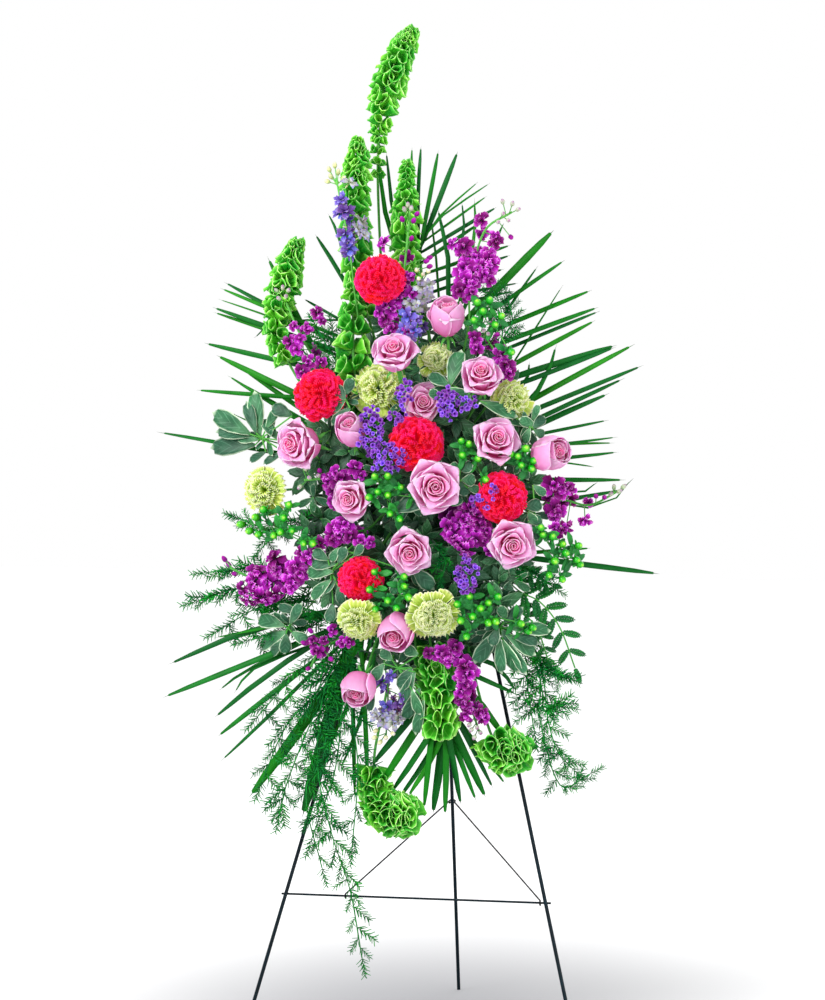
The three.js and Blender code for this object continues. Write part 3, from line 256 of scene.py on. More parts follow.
# One build for all that grows: colour along the petal or leaf, a paler edge, veins, and each copy a little different.
def grownSurface(name, look):
    material, tree, shader = newSurface(name, look["shader"])
    uv = addNode(tree, "ShaderNodeUVMap", {"uv_map": "UVMap"})
    place = addNode(tree, "ShaderNodeSeparateXYZ", links={0: uv.outputs[0]})
    along = place.outputs[1]
    side = calc(tree, "ABSOLUTE", calc(tree, "MULTIPLY_ADD", place.outputs[0], 2.0, -1.0))
    tint = addNode(tree, "ShaderNodeAttribute", {"attribute_name": "tint"}).outputs["Fac"]
    colour = ramped(tree, along, look["along"])
    if "heart" in look:  # petals nearer the middle
        layer = addNode(tree, "ShaderNodeAttribute", {"attribute_name": "layer"}).outputs["Fac"]
        colour = blended(tree, layer, ramped(tree, along, look["heart"]), colour)
    if "edge" in look:
        start, edgeColour, strength = look["edge"]
        rim = calc(tree, "MAXIMUM", 0.0 if look.get("round") else side, along)
        colour = blended(tree, ranged(tree, rim, start, 1.0, 0.0, strength, "SMOOTHSTEP"), colour, linear(edgeColour))
    scale, depth = look["mottle"]
    mottle = noise(tree, scale, 3.0)
    height = mottle
    if "veins" in look:
        lengthwise, crosswise, start, strength, veinColour = look["veins"]
        rise = calc(tree, "MULTIPLY_ADD", along, lengthwise * fullTurn, 0.0)
        wave = calc(tree, "SINE", calc(tree, "MULTIPLY_ADD", side, crosswise * fullTurn, rise))
        line = ranged(tree, wave, start, 1.0, 0.0, strength, "SMOOTHSTEP")
        colour = blended(tree, line, colour, linear(veinColour))
        height = calc(tree, "MULTIPLY_ADD", mottle, 0.5, line)
    low, high = look["spread"]
    patches = ranged(tree, mottle, 0.3, 0.7, 1 - depth, 1 + depth)
    value = calc(tree, "MULTIPLY", ranged(tree, tint, 0.0, 1.0, low, high), patches)
    swing = look.get("swing", 0.01)
    hue = ranged(tree, tint, 0.0, 1.0, 0.5 + swing, 0.5 - swing)
    shade = addNode(tree, "ShaderNodeHueSaturation", links={"Hue": hue, "Value": value, "Color": colour})
    tree.links.new(shade.outputs[0], shader.inputs["Base Color"])
    if "glow" in look:  # painted glow: an emission standing in for light that has come through the petals round it, strongest down between them
        foot, tip, glowColour = look["glow"]
        tree.links.new(ranged(tree, along, 0.3, 1.0, foot, tip), shader.inputs["Emission Strength"])
        shader.inputs["Emission Color"].default_value = linear(glowColour)
    bumped(tree, shader, look["bump"], 0.0006, height)
    return material


softPetal = {
    "Roughness": 0.6, "Specular IOR Level": 0.12,
    "Subsurface Weight": 0.3, "Subsurface Radius": (1.0, 0.5, 0.5), "Subsurface Scale": 0.004,
}
waxyLeaf = {"Roughness": 0.42, "Specular IOR Level": 0.2}
# along, heart: colours from foot to tip. edge: (from, colour, strength). veins: (waves along, waves across, from,
# strength, colour). mottle: (scale, strength). spread: the darkest and the lightest copy. swing: of their hue.
# glow: a painted glow, emission that stands in for light, (at the foot, at the tip, colour). round: the shape has no
# side edges.
grownLooks = {
    # Garden rose petal: satin, pale rims over a deeper heart, with subsurface light and a faint painted glow at the
    # foot for the light that goes through several layers.
    "rosePetal": {
        "shader": {**softPetal, "Subsurface Weight": 0.6, "Subsurface Radius": (1.0, 0.4, 0.7),
            "Subsurface Scale": 0.006},
        "along": [(0.0, "#C85090"), (0.45, "#D47DB2"), (0.8, "#DC9EC8"), (1.0, "#E4B4D6")],
        "glow": (0.08, 0.0, "#D82A6C"),
        "heart": [(0.0, "#B40E48"), (0.55, "#D42C6C"), (0.86, "#E2609A"), (1.0, "#F0A2CC")],
        "edge": (0.88, "#EEC8E6", 0.6), "veins": (0.0, 5.0, 0.4, 0.1, "#D67FB8"), "mottle": (90.0, 0.05),
        "spread": (0.92, 1.04), "swing": 0.004, "bump": 0.25,
    },
    # Hot pink carnation: matt, fringed petals, with a painted glow all along them for the light they pass to one
    # another.
    "hotCarnationPetal": {
        "shader": {**softPetal, "Roughness": 0.75, "Specular IOR Level": 0.06, "Subsurface Weight": 0.5,
            "Subsurface Radius": (1.0, 0.2, 0.3)},
        "along": [(0.0, "#D80020"), (0.5, "#EE0830"), (0.85, "#FF1240"), (1.0, "#FF2460")],
        "glow": (0.2, 0.12, "#F01030"), "edge": (0.92, "#FF3270", 0.4), "mottle": (120.0, 0.06),
        "spread": (0.9, 1.04), "swing": 0.01, "bump": 0.3,
    },
    # Yellow green carnation: paler at its frilled rims, greener down in the middle, with a faint painted glow at the
    # foot.
    "limeCarnationPetal": {
        "shader": {**softPetal, "Roughness": 0.75},
        "along": [(0.0, "#6E9E1E"), (0.4, "#A4C43C"), (0.8, "#CCDC6C"), (1.0, "#F0F6B4")],
        "heart": [(0.0, "#346C02"), (0.4, "#70A614"), (0.75, "#B4D23C"), (1.0, "#EAF688")],
        "edge": (0.92, "#FDFFD2", 0.7), "glow": (0.08, 0.0, "#8CC020"), "mottle": (120.0, 0.05),
        "spread": (0.88, 1.06), "swing": 0.008, "bump": 0.3,
    },
    # Bells of Ireland: leathery cups with pale veins and a pale turned rim.
    "bellCup": {
        "shader": {"Roughness": 0.5, "Specular IOR Level": 0.15, "Subsurface Weight": 0.2,
            "Subsurface Radius": (0.5, 1.0, 0.3), "Subsurface Scale": 0.004}, "round": True,
        "along": [(0.0, "#84D24E"), (0.25, "#40A826"), (0.7, "#2E9418"), (0.9, "#5AC43A"), (1.0, "#BCF68C")],
        "edge": (0.94, "#CFFAA6", 0.85), "veins": (0.0, 4.0, 0.7, 0.4, "#7FCF52"), "mottle": (160.0, 0.14),
        "spread": (0.7, 1.16), "swing": 0.016, "bump": 0.5,
    },
    # Stock: crumpled double florets of a soft magenta, painted near black at the petals' feet as shade down between
    # them and pale at the tips as a painted highlight on the rims.
    "stockPetal": {
        "shader": {**softPetal, "Roughness": 0.8, "Specular IOR Level": 0.08},
        "along": [(0.0, "#3C0438"), (0.4, "#74106E"), (0.75, "#A21E9C"), (0.93, "#CC58C6"), (1.0, "#E68CE0")],
        "mottle": (140.0, 0.12), "spread": (0.5, 1.25), "swing": 0.015, "bump": 0.3,
    },
    # Larkspur: thin florets, violet where they are open and washed with cream in the bud.
    "larkspurPetal": {
        "shader": softPetal, "along": [(0.0, "#3A2A80"), (0.4, "#5A48A8"), (0.8, "#7A66C4"), (1.0, "#B0A4E4")],
        "heart": [(0.0, "#8FAE68"), (0.4, "#C6CAB4"), (0.75, "#B0A8CC"), (1.0, "#8276BC")], "mottle": (120.0, 0.1),
        "spread": (0.5, 1.15), "swing": 0.03, "bump": 0.3,
    },
    # Larkspur buds, still closed: downy, cream going green at the foot.
    "creamBud": {
        "shader": {**softPetal, "Roughness": 0.8}, "round": True,
        "along": [(0.0, "#7F9A50"), (0.45, "#BFC68C"), (0.85, "#DAD8B4"), (1.0, "#B4A8C8")],
        "mottle": (200.0, 0.12), "spread": (0.75, 1.05), "bump": 0.3,
    },
    # Statice: dry, papery funnels that keep their violet, painted dark down in the hollow of each funnel as shade and
    # pale at the rim as a painted highlight.
    "staticePaper": {
        "shader": {"Roughness": 0.85, "Specular IOR Level": 0.1}, "round": True,
        "along": [(0.0, "#300E60"), (0.5, "#6C30AC"), (0.85, "#8848C4"), (1.0, "#B486E4")],
        "mottle": (200.0, 0.12), "spread": (0.5, 1.25), "swing": 0.025, "bump": 0.4,
    },
    # Hypericum berry: a taut, shiny skin, yellower at the tip.
    "hypericumBerry": {
        "shader": {"Roughness": 0.2, "Specular IOR Level": 0.45}, "round": True,
        "along": [(0.0, "#0F6A04"), (0.5, "#1A8C08"), (0.85, "#30AE10"), (1.0, "#A4DA3C")],
        "mottle": (160.0, 0.05), "spread": (0.85, 1.08), "bump": 0.1,
    },
    # Hypericum leaf and the sepals under its berries: waxy, with curved side veins.
    "hypericumLeaf": {
        "shader": waxyLeaf, "along": [(0.0, "#17702A"), (0.6, "#1C7C30"), (1.0, "#2B9440")],
        "veins": (7.0, -2.0, 0.7, 0.25, "#5BB36B"), "mottle": (120.0, 0.08), "spread": (0.7, 1.15), "bump": 0.3,
    },
    # Variegated pittosporum: grey green leaves with a cream margin, softly glossy.
    "pittosporumLeaf": {
        "shader": {**waxyLeaf, "Specular IOR Level": 0.22},
        "along": [(0.0, "#4E8058"), (0.4, "#24583A"), (1.0, "#2E6644")], "edge": (0.8, "#C6DABC", 0.95),
        "veins": (5.0, -1.6, 0.7, 0.25, "#6FA482"), "mottle": (70.0, 0.25), "spread": (0.62, 1.25), "swing": 0.014,
        "bump": 0.35,
    },
    # Lemon leaf behind the blooms: waxy, grey green, its own dark green deepened with painted shade for its place
    # behind the flowers, and pale rims painted as highlights.
    "darkLeaf": {
        "shader": {**waxyLeaf, "Specular IOR Level": 0.3},
        "along": [(0.0, "#1E4A2C"), (0.6, "#2A5E3A"), (1.0, "#3A744C")], "edge": (0.86, "#9CC09A", 0.6),
        "veins": (5.0, -1.6, 0.75, 0.35, "#6BA47C"), "mottle": (80.0, 0.2), "spread": (0.5, 1.35), "swing": 0.014,
        "bump": 0.3,
    },
    # Palm leaflet: long parallel veins, satin, browned at its very tip.
    "palmBlade": {
        "shader": {**waxyLeaf, "Specular IOR Level": 0.1},
        "along": [(0.0, "#075512"), (0.6, "#096416"), (0.96, "#085A14"), (1.0, "#33361C")],
        "veins": (0.0, 3.0, 0.2, 0.25, "#2F9A3C"), "mottle": (40.0, 0.16), "spread": (0.62, 1.3), "swing": 0.014,
        "bump": 0.3,
    },
    # Asparagus fern: needles too fine for veins.
    "asparagusNeedle": {
        "shader": {"Roughness": 0.6, "Specular IOR Level": 0.1}, "round": True,
        "along": [(0.0, "#0F7828"), (1.0, "#1C9640")], "mottle": (70.0, 0.15), "spread": (0.5, 1.2),
        "swing": 0.014, "bump": 0.1,
    },
    # Leatherleaf fern: waxy leaflets with fine side veins.
    "leatherleafLeaflet": {
        "shader": waxyLeaf, "along": [(0.0, "#0C5A22"), (0.6, "#0F6A2A"), (1.0, "#178038")],
        "veins": (6.0, -1.5, 0.6, 0.2, "#3C9A54"), "mottle": (90.0, 0.1), "spread": (0.75, 1.15), "bump": 0.3,
    },
    # Cut stems and calyxes: smooth and juicy.
    "greenStem": {
        "shader": {"Roughness": 0.5, "Specular IOR Level": 0.2}, "round": True,
        "along": [(0.0, "#3C8C34"), (1.0, "#5CAE48")], "mottle": (120.0, 0.1), "spread": (0.8, 1.1), "bump": 0.15,
    },
    # Unopened buds: downy grey green, coloured at the tip.
    "downyBud": {
        "shader": {**softPetal, "Roughness": 0.8}, "round": True,
        "along": [(0.0, "#7C9A68"), (0.5, "#AEBB9E"), (0.85, "#A89EA4"), (1.0, "#8E3488")],
        "mottle": (200.0, 0.12), "spread": (0.85, 1.1), "bump": 0.3,
    },
    # Stock bud, about to open: magenta out of a downy green calyx.
    "magentaBud": {
        "shader": {**softPetal, "Roughness": 0.8}, "round": True,
        "along": [(0.0, "#5E8A50"), (0.25, "#761278"), (0.8, "#90128A"), (1.0, "#A6309E")],
        "mottle": (200.0, 0.12), "spread": (0.8, 1.1), "bump": 0.3,
    },
}


# Modelling by hand, in code: pick vertices, then move or resize them
def deselectAll():
    if bpy.context.object and bpy.context.object.mode != "OBJECT":
        bpy.ops.object.mode_set(mode="OBJECT")
    bpy.ops.object.select_all(action="DESELECT")


def nudge(thing, verts, move=None, size=None, centre=(0, 0, 0)):
    data = thing.data
    for group in (data.vertices, data.edges, data.polygons):
        group.foreach_set("select", [False] * len(group))
    for i in verts:
        data.vertices[i].select = True
    bpy.ops.object.mode_set(mode="EDIT")
    if size:
        bpy.ops.transform.resize(value=size, center_override=centre)
    if move:
        bpy.ops.transform.translate(value=move)
    bpy.ops.object.mode_set(mode="OBJECT")


def onWhole(action, **settings):  # an edit mode operator on the whole mesh
    bpy.ops.object.mode_set(mode="EDIT")
    bpy.ops.mesh.select_all(action="SELECT")
    action(**settings)
    bpy.ops.object.mode_set(mode="OBJECT")


def finish(thing, kind=None, **settings):  # adds and applies a modifier, then smooths
    if kind:
        modifier = thing.modifiers.new(kind, kind)
        for name, value in settings.items():
            setattr(modifier, name, value)
        bpy.ops.object.modifier_apply(modifier=modifier.name)
    bpy.ops.object.shade_smooth()


def startGrid(name, columns, rows):
    deselectAll()
    bpy.ops.mesh.primitive_grid_add(x_subdivisions=columns, y_subdivisions=rows, size=2)
    sheet = bpy.context.object
    sheet.name = name
    across = columns + 1
    return sheet, [list(range(r * across, (r + 1) * across)) for r in range(rows + 1)]


# A petal of a cupped flower. Each row is (way out from the axis, height, half its width as an angle).
def cuppedPetal(name, rows, corner, slant, thick):
    columns = 8
    sheet, lines = startGrid(name, columns, len(rows) - 1)
    for i, (out, height, half) in enumerate(rows):
        y = -1 + 2 * i / (len(rows) - 1)
        nudge(sheet, lines[i], move=(0, 1 - out - y, height), size=(half, 1, 1), centre=(0, y, 0))
    for back, weight in ((1, 1.5), (2, 0.8), (3, 0.35)):  # round the corners back along the profile
        line, (out, height, half), (inner, lower, narrow) = lines[-back], rows[-back], rows[-back - 1]
        for k in range(columns // 2):
            amount = corner[0] * weight * (1 - 2 * k / columns) ** corner[1]
            nudge(sheet, [line[k], line[-1 - k]], move=(0, (out - inner) * amount, (lower - height) * amount))
    deselectAll()
    sheet.select_set(True)
    belly = max(out for out, height, half in rows)  # one side tucks in under its neighbour
    onWhole(bpy.ops.transform.rotate, value=slant, orient_axis="Z", center_override=(0, 1 - belly, 0))
    xs = [v.co.x for v in sheet.data.vertices]
    finish(sheet, "SIMPLE_DEFORM", deform_method="BEND", deform_axis="Z", angle=max(xs) - min(xs))
    onWhole(bpy.ops.transform.translate, value=(0, -1, 0))
    finish(sheet, "SOLIDIFY", thickness=thick, offset=0.0)
    return sheet


# A flat petal or leaf, one long. Each row is (way along, half width, height); ruffle and fold move its columns.
def flatLeaf(name, rows, thick, columns=4, fold=0.0, ruffle=0.0, teeth=0.0):
    sheet, lines = startGrid(name, columns, len(rows) - 1)
    for i, (along, half, height) in enumerate(rows):
        y = -1 + 2 * i / (len(rows) - 1)
        nudge(sheet, lines[i], move=(0, along - y, height), size=(half, 1, 1), centre=(0, y, 0))
        if ruffle:
            nudge(sheet, lines[i][0::2], move=(0, 0, ruffle * along ** 1.5))
            nudge(sheet, lines[i][1::2], move=(0, 0, -ruffle * along ** 1.5))
        if fold and 0 < half:
            nudge(sheet, [lines[i][columns // 2]], move=(0, 0, -fold * half))
    if teeth:
        nudge(sheet, lines[-1][0::2], move=(0, teeth, 0))
        nudge(sheet, lines[-1][1::2], move=(0, -teeth, 0))
    for k in range(columns // 2):  # the tip is rounded back from its middle
        back = (rows[-1][0] - rows[-2][0]) * 0.8 * (1 - 2 * k / columns) ** 2
        nudge(sheet, [lines[-1][k], lines[-1][-1 - k]], move=(0, -back, 0))
    finish(sheet, "SOLIDIFY", thickness=thick, offset=0.0)
    return sheet


# A round shape drawn up ring by ring from a filled circle. Each ring is (radius, height).
def drawnUp(name, rings, sides, thick=0.0, lobes=0.0, uneven=0.0):
    deselectAll()
    radius, height = rings[0]
    bpy.ops.mesh.primitive_circle_add(vertices=sides, radius=radius, fill_type="NGON", location=(0, 0, height))
    shell = bpy.context.object
    shell.name = name
    bpy.ops.object.transform_apply(location=True, rotation=False, scale=False)
    bpy.ops.object.mode_set(mode="EDIT")
    bpy.ops.mesh.select_mode(type="EDGE")
    bpy.ops.mesh.select_all(action="SELECT")
    for (was, low), (radius, height) in zip(rings, rings[1:]):
        bpy.ops.mesh.extrude_edges_move(TRANSFORM_OT_translate={"value": (0, 0, height - low)})
        bpy.ops.transform.resize(value=(radius / was, radius / was, 1), center_override=(0, 0, height))
    bpy.ops.mesh.select_mode(type="VERT")
    bpy.ops.object.mode_set(mode="OBJECT")
    if lobes:
        rim = [v.index for v in shell.data.vertices if abs(v.co.z - rings[-1][1]) < 1e-4]
        nudge(shell, rim[0::2], move=(0, 0, lobes), size=(1.06, 1.06, 1))
        nudge(shell, rim[1::2], move=(0, 0, -lobes * 0.5))
    if uneven:
        rows = [[v.index for v in shell.data.vertices if abs(v.co.z - ring[1]) < 0.04] for ring in rings[-2:]]
        for row, share in zip(rows, (0.5, 1.0)):
            for i in row:
                nudge(shell, [i], move=[chance.uniform(-uneven, uneven) * share for _ in range(3)])
    onWhole(bpy.ops.mesh.normals_make_consistent, inside=False)
    if thick:
        finish(shell, "SOLIDIFY", thickness=thick, offset=0.0)
    else:
        finish(shell)
    return shell


def ball(name, segments, rings, stretch, point):
    deselectAll()
    bpy.ops.mesh.primitive_uv_sphere_add(segments=segments, ring_count=rings, radius=0.5, location=(0, 0, 0))
    fruit = bpy.context.object
    fruit.name = name
    low = [v.index for v in fruit.data.vertices if v.co.z < -0.3]
    nudge(fruit, low, size=(0.8, 0.8, 1))
    nudge(fruit, range(len(fruit.data.vertices)), move=(0, 0, 0.5 * stretch), size=(1, 1, stretch))
    top = max(fruit.data.vertices, key=lambda v: v.co.z).index
    nudge(fruit, [top], move=(0, 0, point))
    finish(fruit)
    return fruit


def needleShape():
    deselectAll()
    bpy.ops.mesh.primitive_cone_add(vertices=3, radius1=0.5, radius2=0.3, depth=1, location=(0, 0, 0.5))
    needle = bpy.context.object
    needle.name = "needle"
    bpy.ops.object.transform_apply(location=True, rotation=False, scale=False)
    low = [v.index for v in needle.data.vertices if v.co.z < 0.5]
    nudge(needle, low, size=(0.9, 0.9, 1))
    return needle


# A modelled shape is read once, and its copies are joined in the mesh of each piece.
def takeShape(thing, surface, tall=False):
    data = thing.data
    count, corners = len(data.vertices), len(data.loops)
    co = np.empty(count * 3, np.float32)
    data.vertices.foreach_get("co", co)
    co = co.reshape(-1, 3).astype(float)
    loops = np.empty(corners, np.int32)
    data.loops.foreach_get("vertex_index", loops)
    sizes = np.empty(len(data.polygons), np.int32)
    data.polygons.foreach_get("loop_total", sizes)
    if tall or not data.uv_layers:  # the pattern runs up the shape instead of along a sheet
        low, high = co[:, 2].min(), co[:, 2].max()
        rise = (co[loops, 2] - low) / max(high - low, 1e-9)
        around = np.abs(np.arctan2(co[loops, 1], co[loops, 0])) / math.pi
        uv = np.stack([0.5 + around / 2, rise], 1)
    else:
        uv = np.empty(corners * 2, np.float32)
        data.uv_layers[0].data.foreach_get("uv", uv)
        uv = uv.reshape(-1, 2).astype(float)
    bpy.data.objects.remove(thing)
    return {
        "co": co, "loops": loops, "sizes": sizes, "uv": uv,
        "surface": [surface] * len(sizes), "tint": np.full(count, 0.5), "layer": np.ones(count),
    }


def leafShape(surface, rows, thick, columns=4, **bends):
    return takeShape(flatLeaf(surface, rows, thick, columns, **bends), surface)


def roundShape(surface, rings, sides, **bends):
    return takeShape(drawnUp(surface, rings, sides, **bends), surface, tall=True)


def recoloured(shape, surface):
    return {**shape, "surface": [surface] * len(shape["surface"])}


def placed(shape, matrix, tint=None, layer=None, bow=0.0):
    co = shape["co"]
    if bow:  # bends a leaf back along its length
        co = co.copy()
        co[:, 2] -= bow * co[:, 1] ** 2
    m = np.array(matrix)
    return {
        **shape, "co": co @ m[:3, :3].T + m[:3, 3],
        "tint": shape["tint"] if tint is None else np.clip(shape["tint"] - 0.5 + tint, 0, 1),
        "layer": shape["layer"] if layer is None else np.full(len(co), layer),
    }


def joined(shapes):
    firsts = np.cumsum([0] + [len(s["co"]) for s in shapes[:-1]])
    whole = {key: np.concatenate([s[key] for s in shapes]) for key in ("co", "sizes", "uv", "tint", "layer")}
    whole["loops"] = np.concatenate([s["loops"] + first for s, first in zip(shapes, firsts)])
    whole["surface"] = [name for s in shapes for name in s["surface"]]
    return whole


def standing(at, axis, spin=0.0, size=(1, 1, 1)):  # a shape's own Z along an axis
    turn = axis.to_track_quat("Z", "Y").to_matrix().to_4x4()
    return Matrix.Translation(at) @ turn @ Matrix.Rotation(spin, 4, "Z") @ Matrix.Diagonal((*size, 1))


def lying(at, along, face, size=(1, 1, 1)):  # a leaf's own Y along one direction, its face towards another
    y = along.normalized()
    x = y.cross(face)
    x = x.normalized() if x.length > 1e-4 else y.orthogonal().normalized()
    turn = Matrix((x, y, x.cross(y))).transposed().to_4x4()
    return Matrix.Translation(at) @ turn @ Matrix.Diagonal((*size, 1))


def fanned(slope, turn):  # a direction so far off the axis, turned about it
    return Vector((math.sin(slope) * math.cos(turn), math.sin(slope) * math.sin(turn), math.cos(slope)))


def outward(along, turn):  # square to a stem, turned about it from its side
    aside = Vector((0, -1, 0)).cross(along).normalized()
    front = along.cross(aside)
    return aside * math.cos(turn) + front * math.sin(turn)


def stalks(lines, radius, surface="greenStem"):  # many stems in one bevelled curve
    data = bpy.data.curves.new("stalks", "CURVE")
    data.dimensions = "3D"
    data.bevel_depth = radius
    data.bevel_resolution = 1
    data.use_fill_caps = True
    for line in lines:
        spline = data.splines.new("POLY")
        spline.points.add(len(line) - 1)
        for point, place in zip(spline.points, line):
            point.co = (*place, 1)
    thing = bpy.data.objects.new("stalks", data)
    bpy.context.collection.objects.link(thing)
    deselectAll()
    bpy.context.view_layer.objects.active = thing
    thing.select_set(True)
    bpy.ops.object.convert(target="MESH")
    return takeShape(bpy.context.object, surface, tall=True)


surfaces = {}


def gather(name, shapes, nodes):
    whole = joined(shapes)
    data = bpy.data.meshes.new(name)
    co = whole["co"] * mm + np.array(shift)
    data.vertices.add(len(co))
    data.vertices.foreach_set("co", co.astype(np.float32).ravel())
    data.loops.add(len(whole["loops"]))
    data.loops.foreach_set("vertex_index", whole["loops"].astype(np.int32))
    data.polygons.add(len(whole["sizes"]))
    starts = np.concatenate([[0], np.cumsum(whole["sizes"])[:-1]])
    data.polygons.foreach_set("loop_start", starts.astype(np.int32))
    names = sorted(set(whole["surface"]))
    for surface in names:
        data.materials.append(surfaces[surface])
    order = {surface: i for i, surface in enumerate(names)}
    data.polygons.foreach_set("material_index", np.array([order[s] for s in whole["surface"]], np.int32))
    data.polygons.foreach_set("use_smooth", np.ones(len(whole["sizes"]), bool))
    data.update(calc_edges=True)
    data.uv_layers.new(name="UVMap").data.foreach_set("uv", whole["uv"].astype(np.float32).ravel())
    for attribute in ("tint", "layer"):
        values = whole[attribute].astype(np.float32)
        data.attributes.new(attribute, "FLOAT", "POINT").data.foreach_set("value", values)
    data.validate()
    piece = bpy.data.objects.new(name, data)
    bpy.context.collection.objects.link(piece)
    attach(piece, "front_frame")
    if nodes:
        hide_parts(*nodes)


def gatherGroups(groups, build, ending):  # one piece for each node, from all its rows
    for node, rows in groups.items():
        gather(node + ending, [shape for row in rows for shape in build(row)], [node])


addCamera()
addLights()
addWorld()
for name, look in grownLooks.items():
    surfaces[name] = grownSurface(name, look)
print("camera, lights and", len(surfaces), "grown surfaces")


# Rose petals, from the guard petals in to the heart: (way out, height, half angle) in widths of the bloom.
rosePetals = {
    "guard": {"slant": 0.03, "corner": (1.2, 1.3), "rows": [
        (0.05, 0.02, 0.5), (0.2, 0.06, 0.8), (0.31, 0.2, 1.0), (0.345, 0.36, 1.08), (0.375, 0.46, 1.08),
        (0.43, 0.52, 1.0), (0.49, 0.53, 0.75), (0.545, 0.47, 0.3)]},
    "closed": {"slant": 0.03, "corner": (0.9, 2.0), "rows": [
        (0.05, 0.02, 0.5), (0.2, 0.06, 0.85), (0.36, 0.22, 1.1), (0.42, 0.42, 1.2), (0.42, 0.58, 1.2),
        (0.365, 0.74, 1.1), (0.33, 0.81, 0.85), (0.35, 0.84, 0.4)]},
    "inner": {"slant": 0.022, "corner": (0.9, 2.0), "rows": [
        (0.04, 0.03, 0.6), (0.17, 0.1, 0.9), (0.29, 0.28, 1.2), (0.325, 0.5, 1.3), (0.31, 0.66, 1.25),
        (0.265, 0.77, 1.1), (0.255, 0.81, 0.8), (0.27, 0.825, 0.4)]},
    "second": {"slant": 0.022, "corner": (1.15, 1.4), "rows": [
        (0.04, 0.03, 0.6), (0.15, 0.08, 0.9), (0.23, 0.26, 1.15), (0.255, 0.44, 1.3), (0.265, 0.55, 1.3),
        (0.3, 0.64, 1.2), (0.37, 0.67, 0.9), (0.435, 0.62, 0.4)]},
    "third": {"slant": 0.016, "corner": (1.0, 1.7), "rows": [
        (0.03, 0.04, 0.6), (0.12, 0.12, 1.0), (0.17, 0.32, 1.3), (0.18, 0.5, 1.4), (0.183, 0.61, 1.4),
        (0.195, 0.69, 1.3), (0.235, 0.72, 0.95), (0.27, 0.695, 0.5)]},
    "fourth": {"slant": 0.013, "corner": (0.9, 2.0), "rows": [
        (0.02, 0.06, 0.7), (0.07, 0.16, 1.1), (0.108, 0.38, 1.45), (0.12, 0.56, 1.55), (0.12, 0.67, 1.5),
        (0.125, 0.72, 1.35), (0.142, 0.74, 1.0), (0.158, 0.73, 0.6)]},
    "fifth": {"slant": 0.01, "corner": (0.7, 2.0), "rows": [
        (0.02, 0.1, 0.9), (0.045, 0.25, 1.4), (0.07, 0.45, 1.8), (0.078, 0.6, 1.9), (0.076, 0.7, 1.9),
        (0.08, 0.74, 1.7), (0.088, 0.755, 1.2), (0.096, 0.75, 0.7)]},
    "core": {"slant": 0.007, "corner": (0.5, 2.0), "rows": [
        (0.01, 0.2, 1.2), (0.03, 0.35, 1.8), (0.04, 0.5, 2.3), (0.043, 0.64, 2.4), (0.04, 0.71, 2.3),
        (0.037, 0.74, 2.0), (0.041, 0.755, 1.4), (0.045, 0.755, 0.9)]},
}
# From the outside in: (petal, how many, 1 for the outer colours to 0 for those of the heart)
heartRings = [("third", 3, 0.7), ("fourth", 3, 0.35), ("fifth", 2, 0.1), ("core", 2, 0.0)]
roseBuild = {
    "open": [("guard", 5, 1.0), ("second", 4, 0.9), *heartRings],
    "bud": [("closed", 4, 0.95), ("inner", 3, 0.8), *heartRings],
    "flared": [("guard", 3, 1.0), ("closed", 3, 0.95), ("inner", 3, 0.8), *heartRings],
}
petalShapes = {
    kind: takeShape(cuppedPetal("rosePetal", look["rows"], look["corner"], look["slant"], 0.009), "rosePetal")
    for kind, look in rosePetals.items()
}
sepalRows = [(0, 0.08, 0), (0.3, 0.13, 0.05), (0.7, 0.07, 0.02), (1, 0.01, -0.15)]
sepalShape = leafShape("greenStem", sepalRows, 0.02, 2, fold=0.3)
hipShape = roundShape("greenStem", [(0.03, -0.12), (0.07, -0.08), (0.085, -0.02), (0.09, 0.05)], 8)


def roseHead(kind):
    parts = []
    turn = chance.uniform(0, 6.28)
    for ring, (petal, count, layer) in enumerate(roseBuild[kind]):
        turn += math.pi / count + 0.3
        for k in range(count):
            spin = turn + k * 2 * math.pi / count + chance.uniform(-0.2, 0.2)
            size = chance.uniform(0.95, 1.05) if ring < 2 else chance.uniform(0.98, 1.02)
            lean = Matrix.Rotation(chance.uniform(-0.08, 0.08) if ring < 1 else 0.0, 4, "X")
            grown = Matrix.Diagonal((size, size, chance.uniform(0.97, 1.03), 1))
            turned = Matrix.Rotation(spin, 4, "Z") @ lean @ grown
            parts.append(placed(petalShapes[petal], turned, chance.random(), layer))
    for k in range(5):
        a = k * 2 * math.pi / 5
        way = Vector((math.cos(a), math.sin(a), -0.5))
        parts.append(placed(sepalShape, lying(Vector((0, 0, 0.03)) + way * 0.06, way, up, (0.34, 0.34, 0.34)), 0.4))
    return joined([*parts, hipShape])


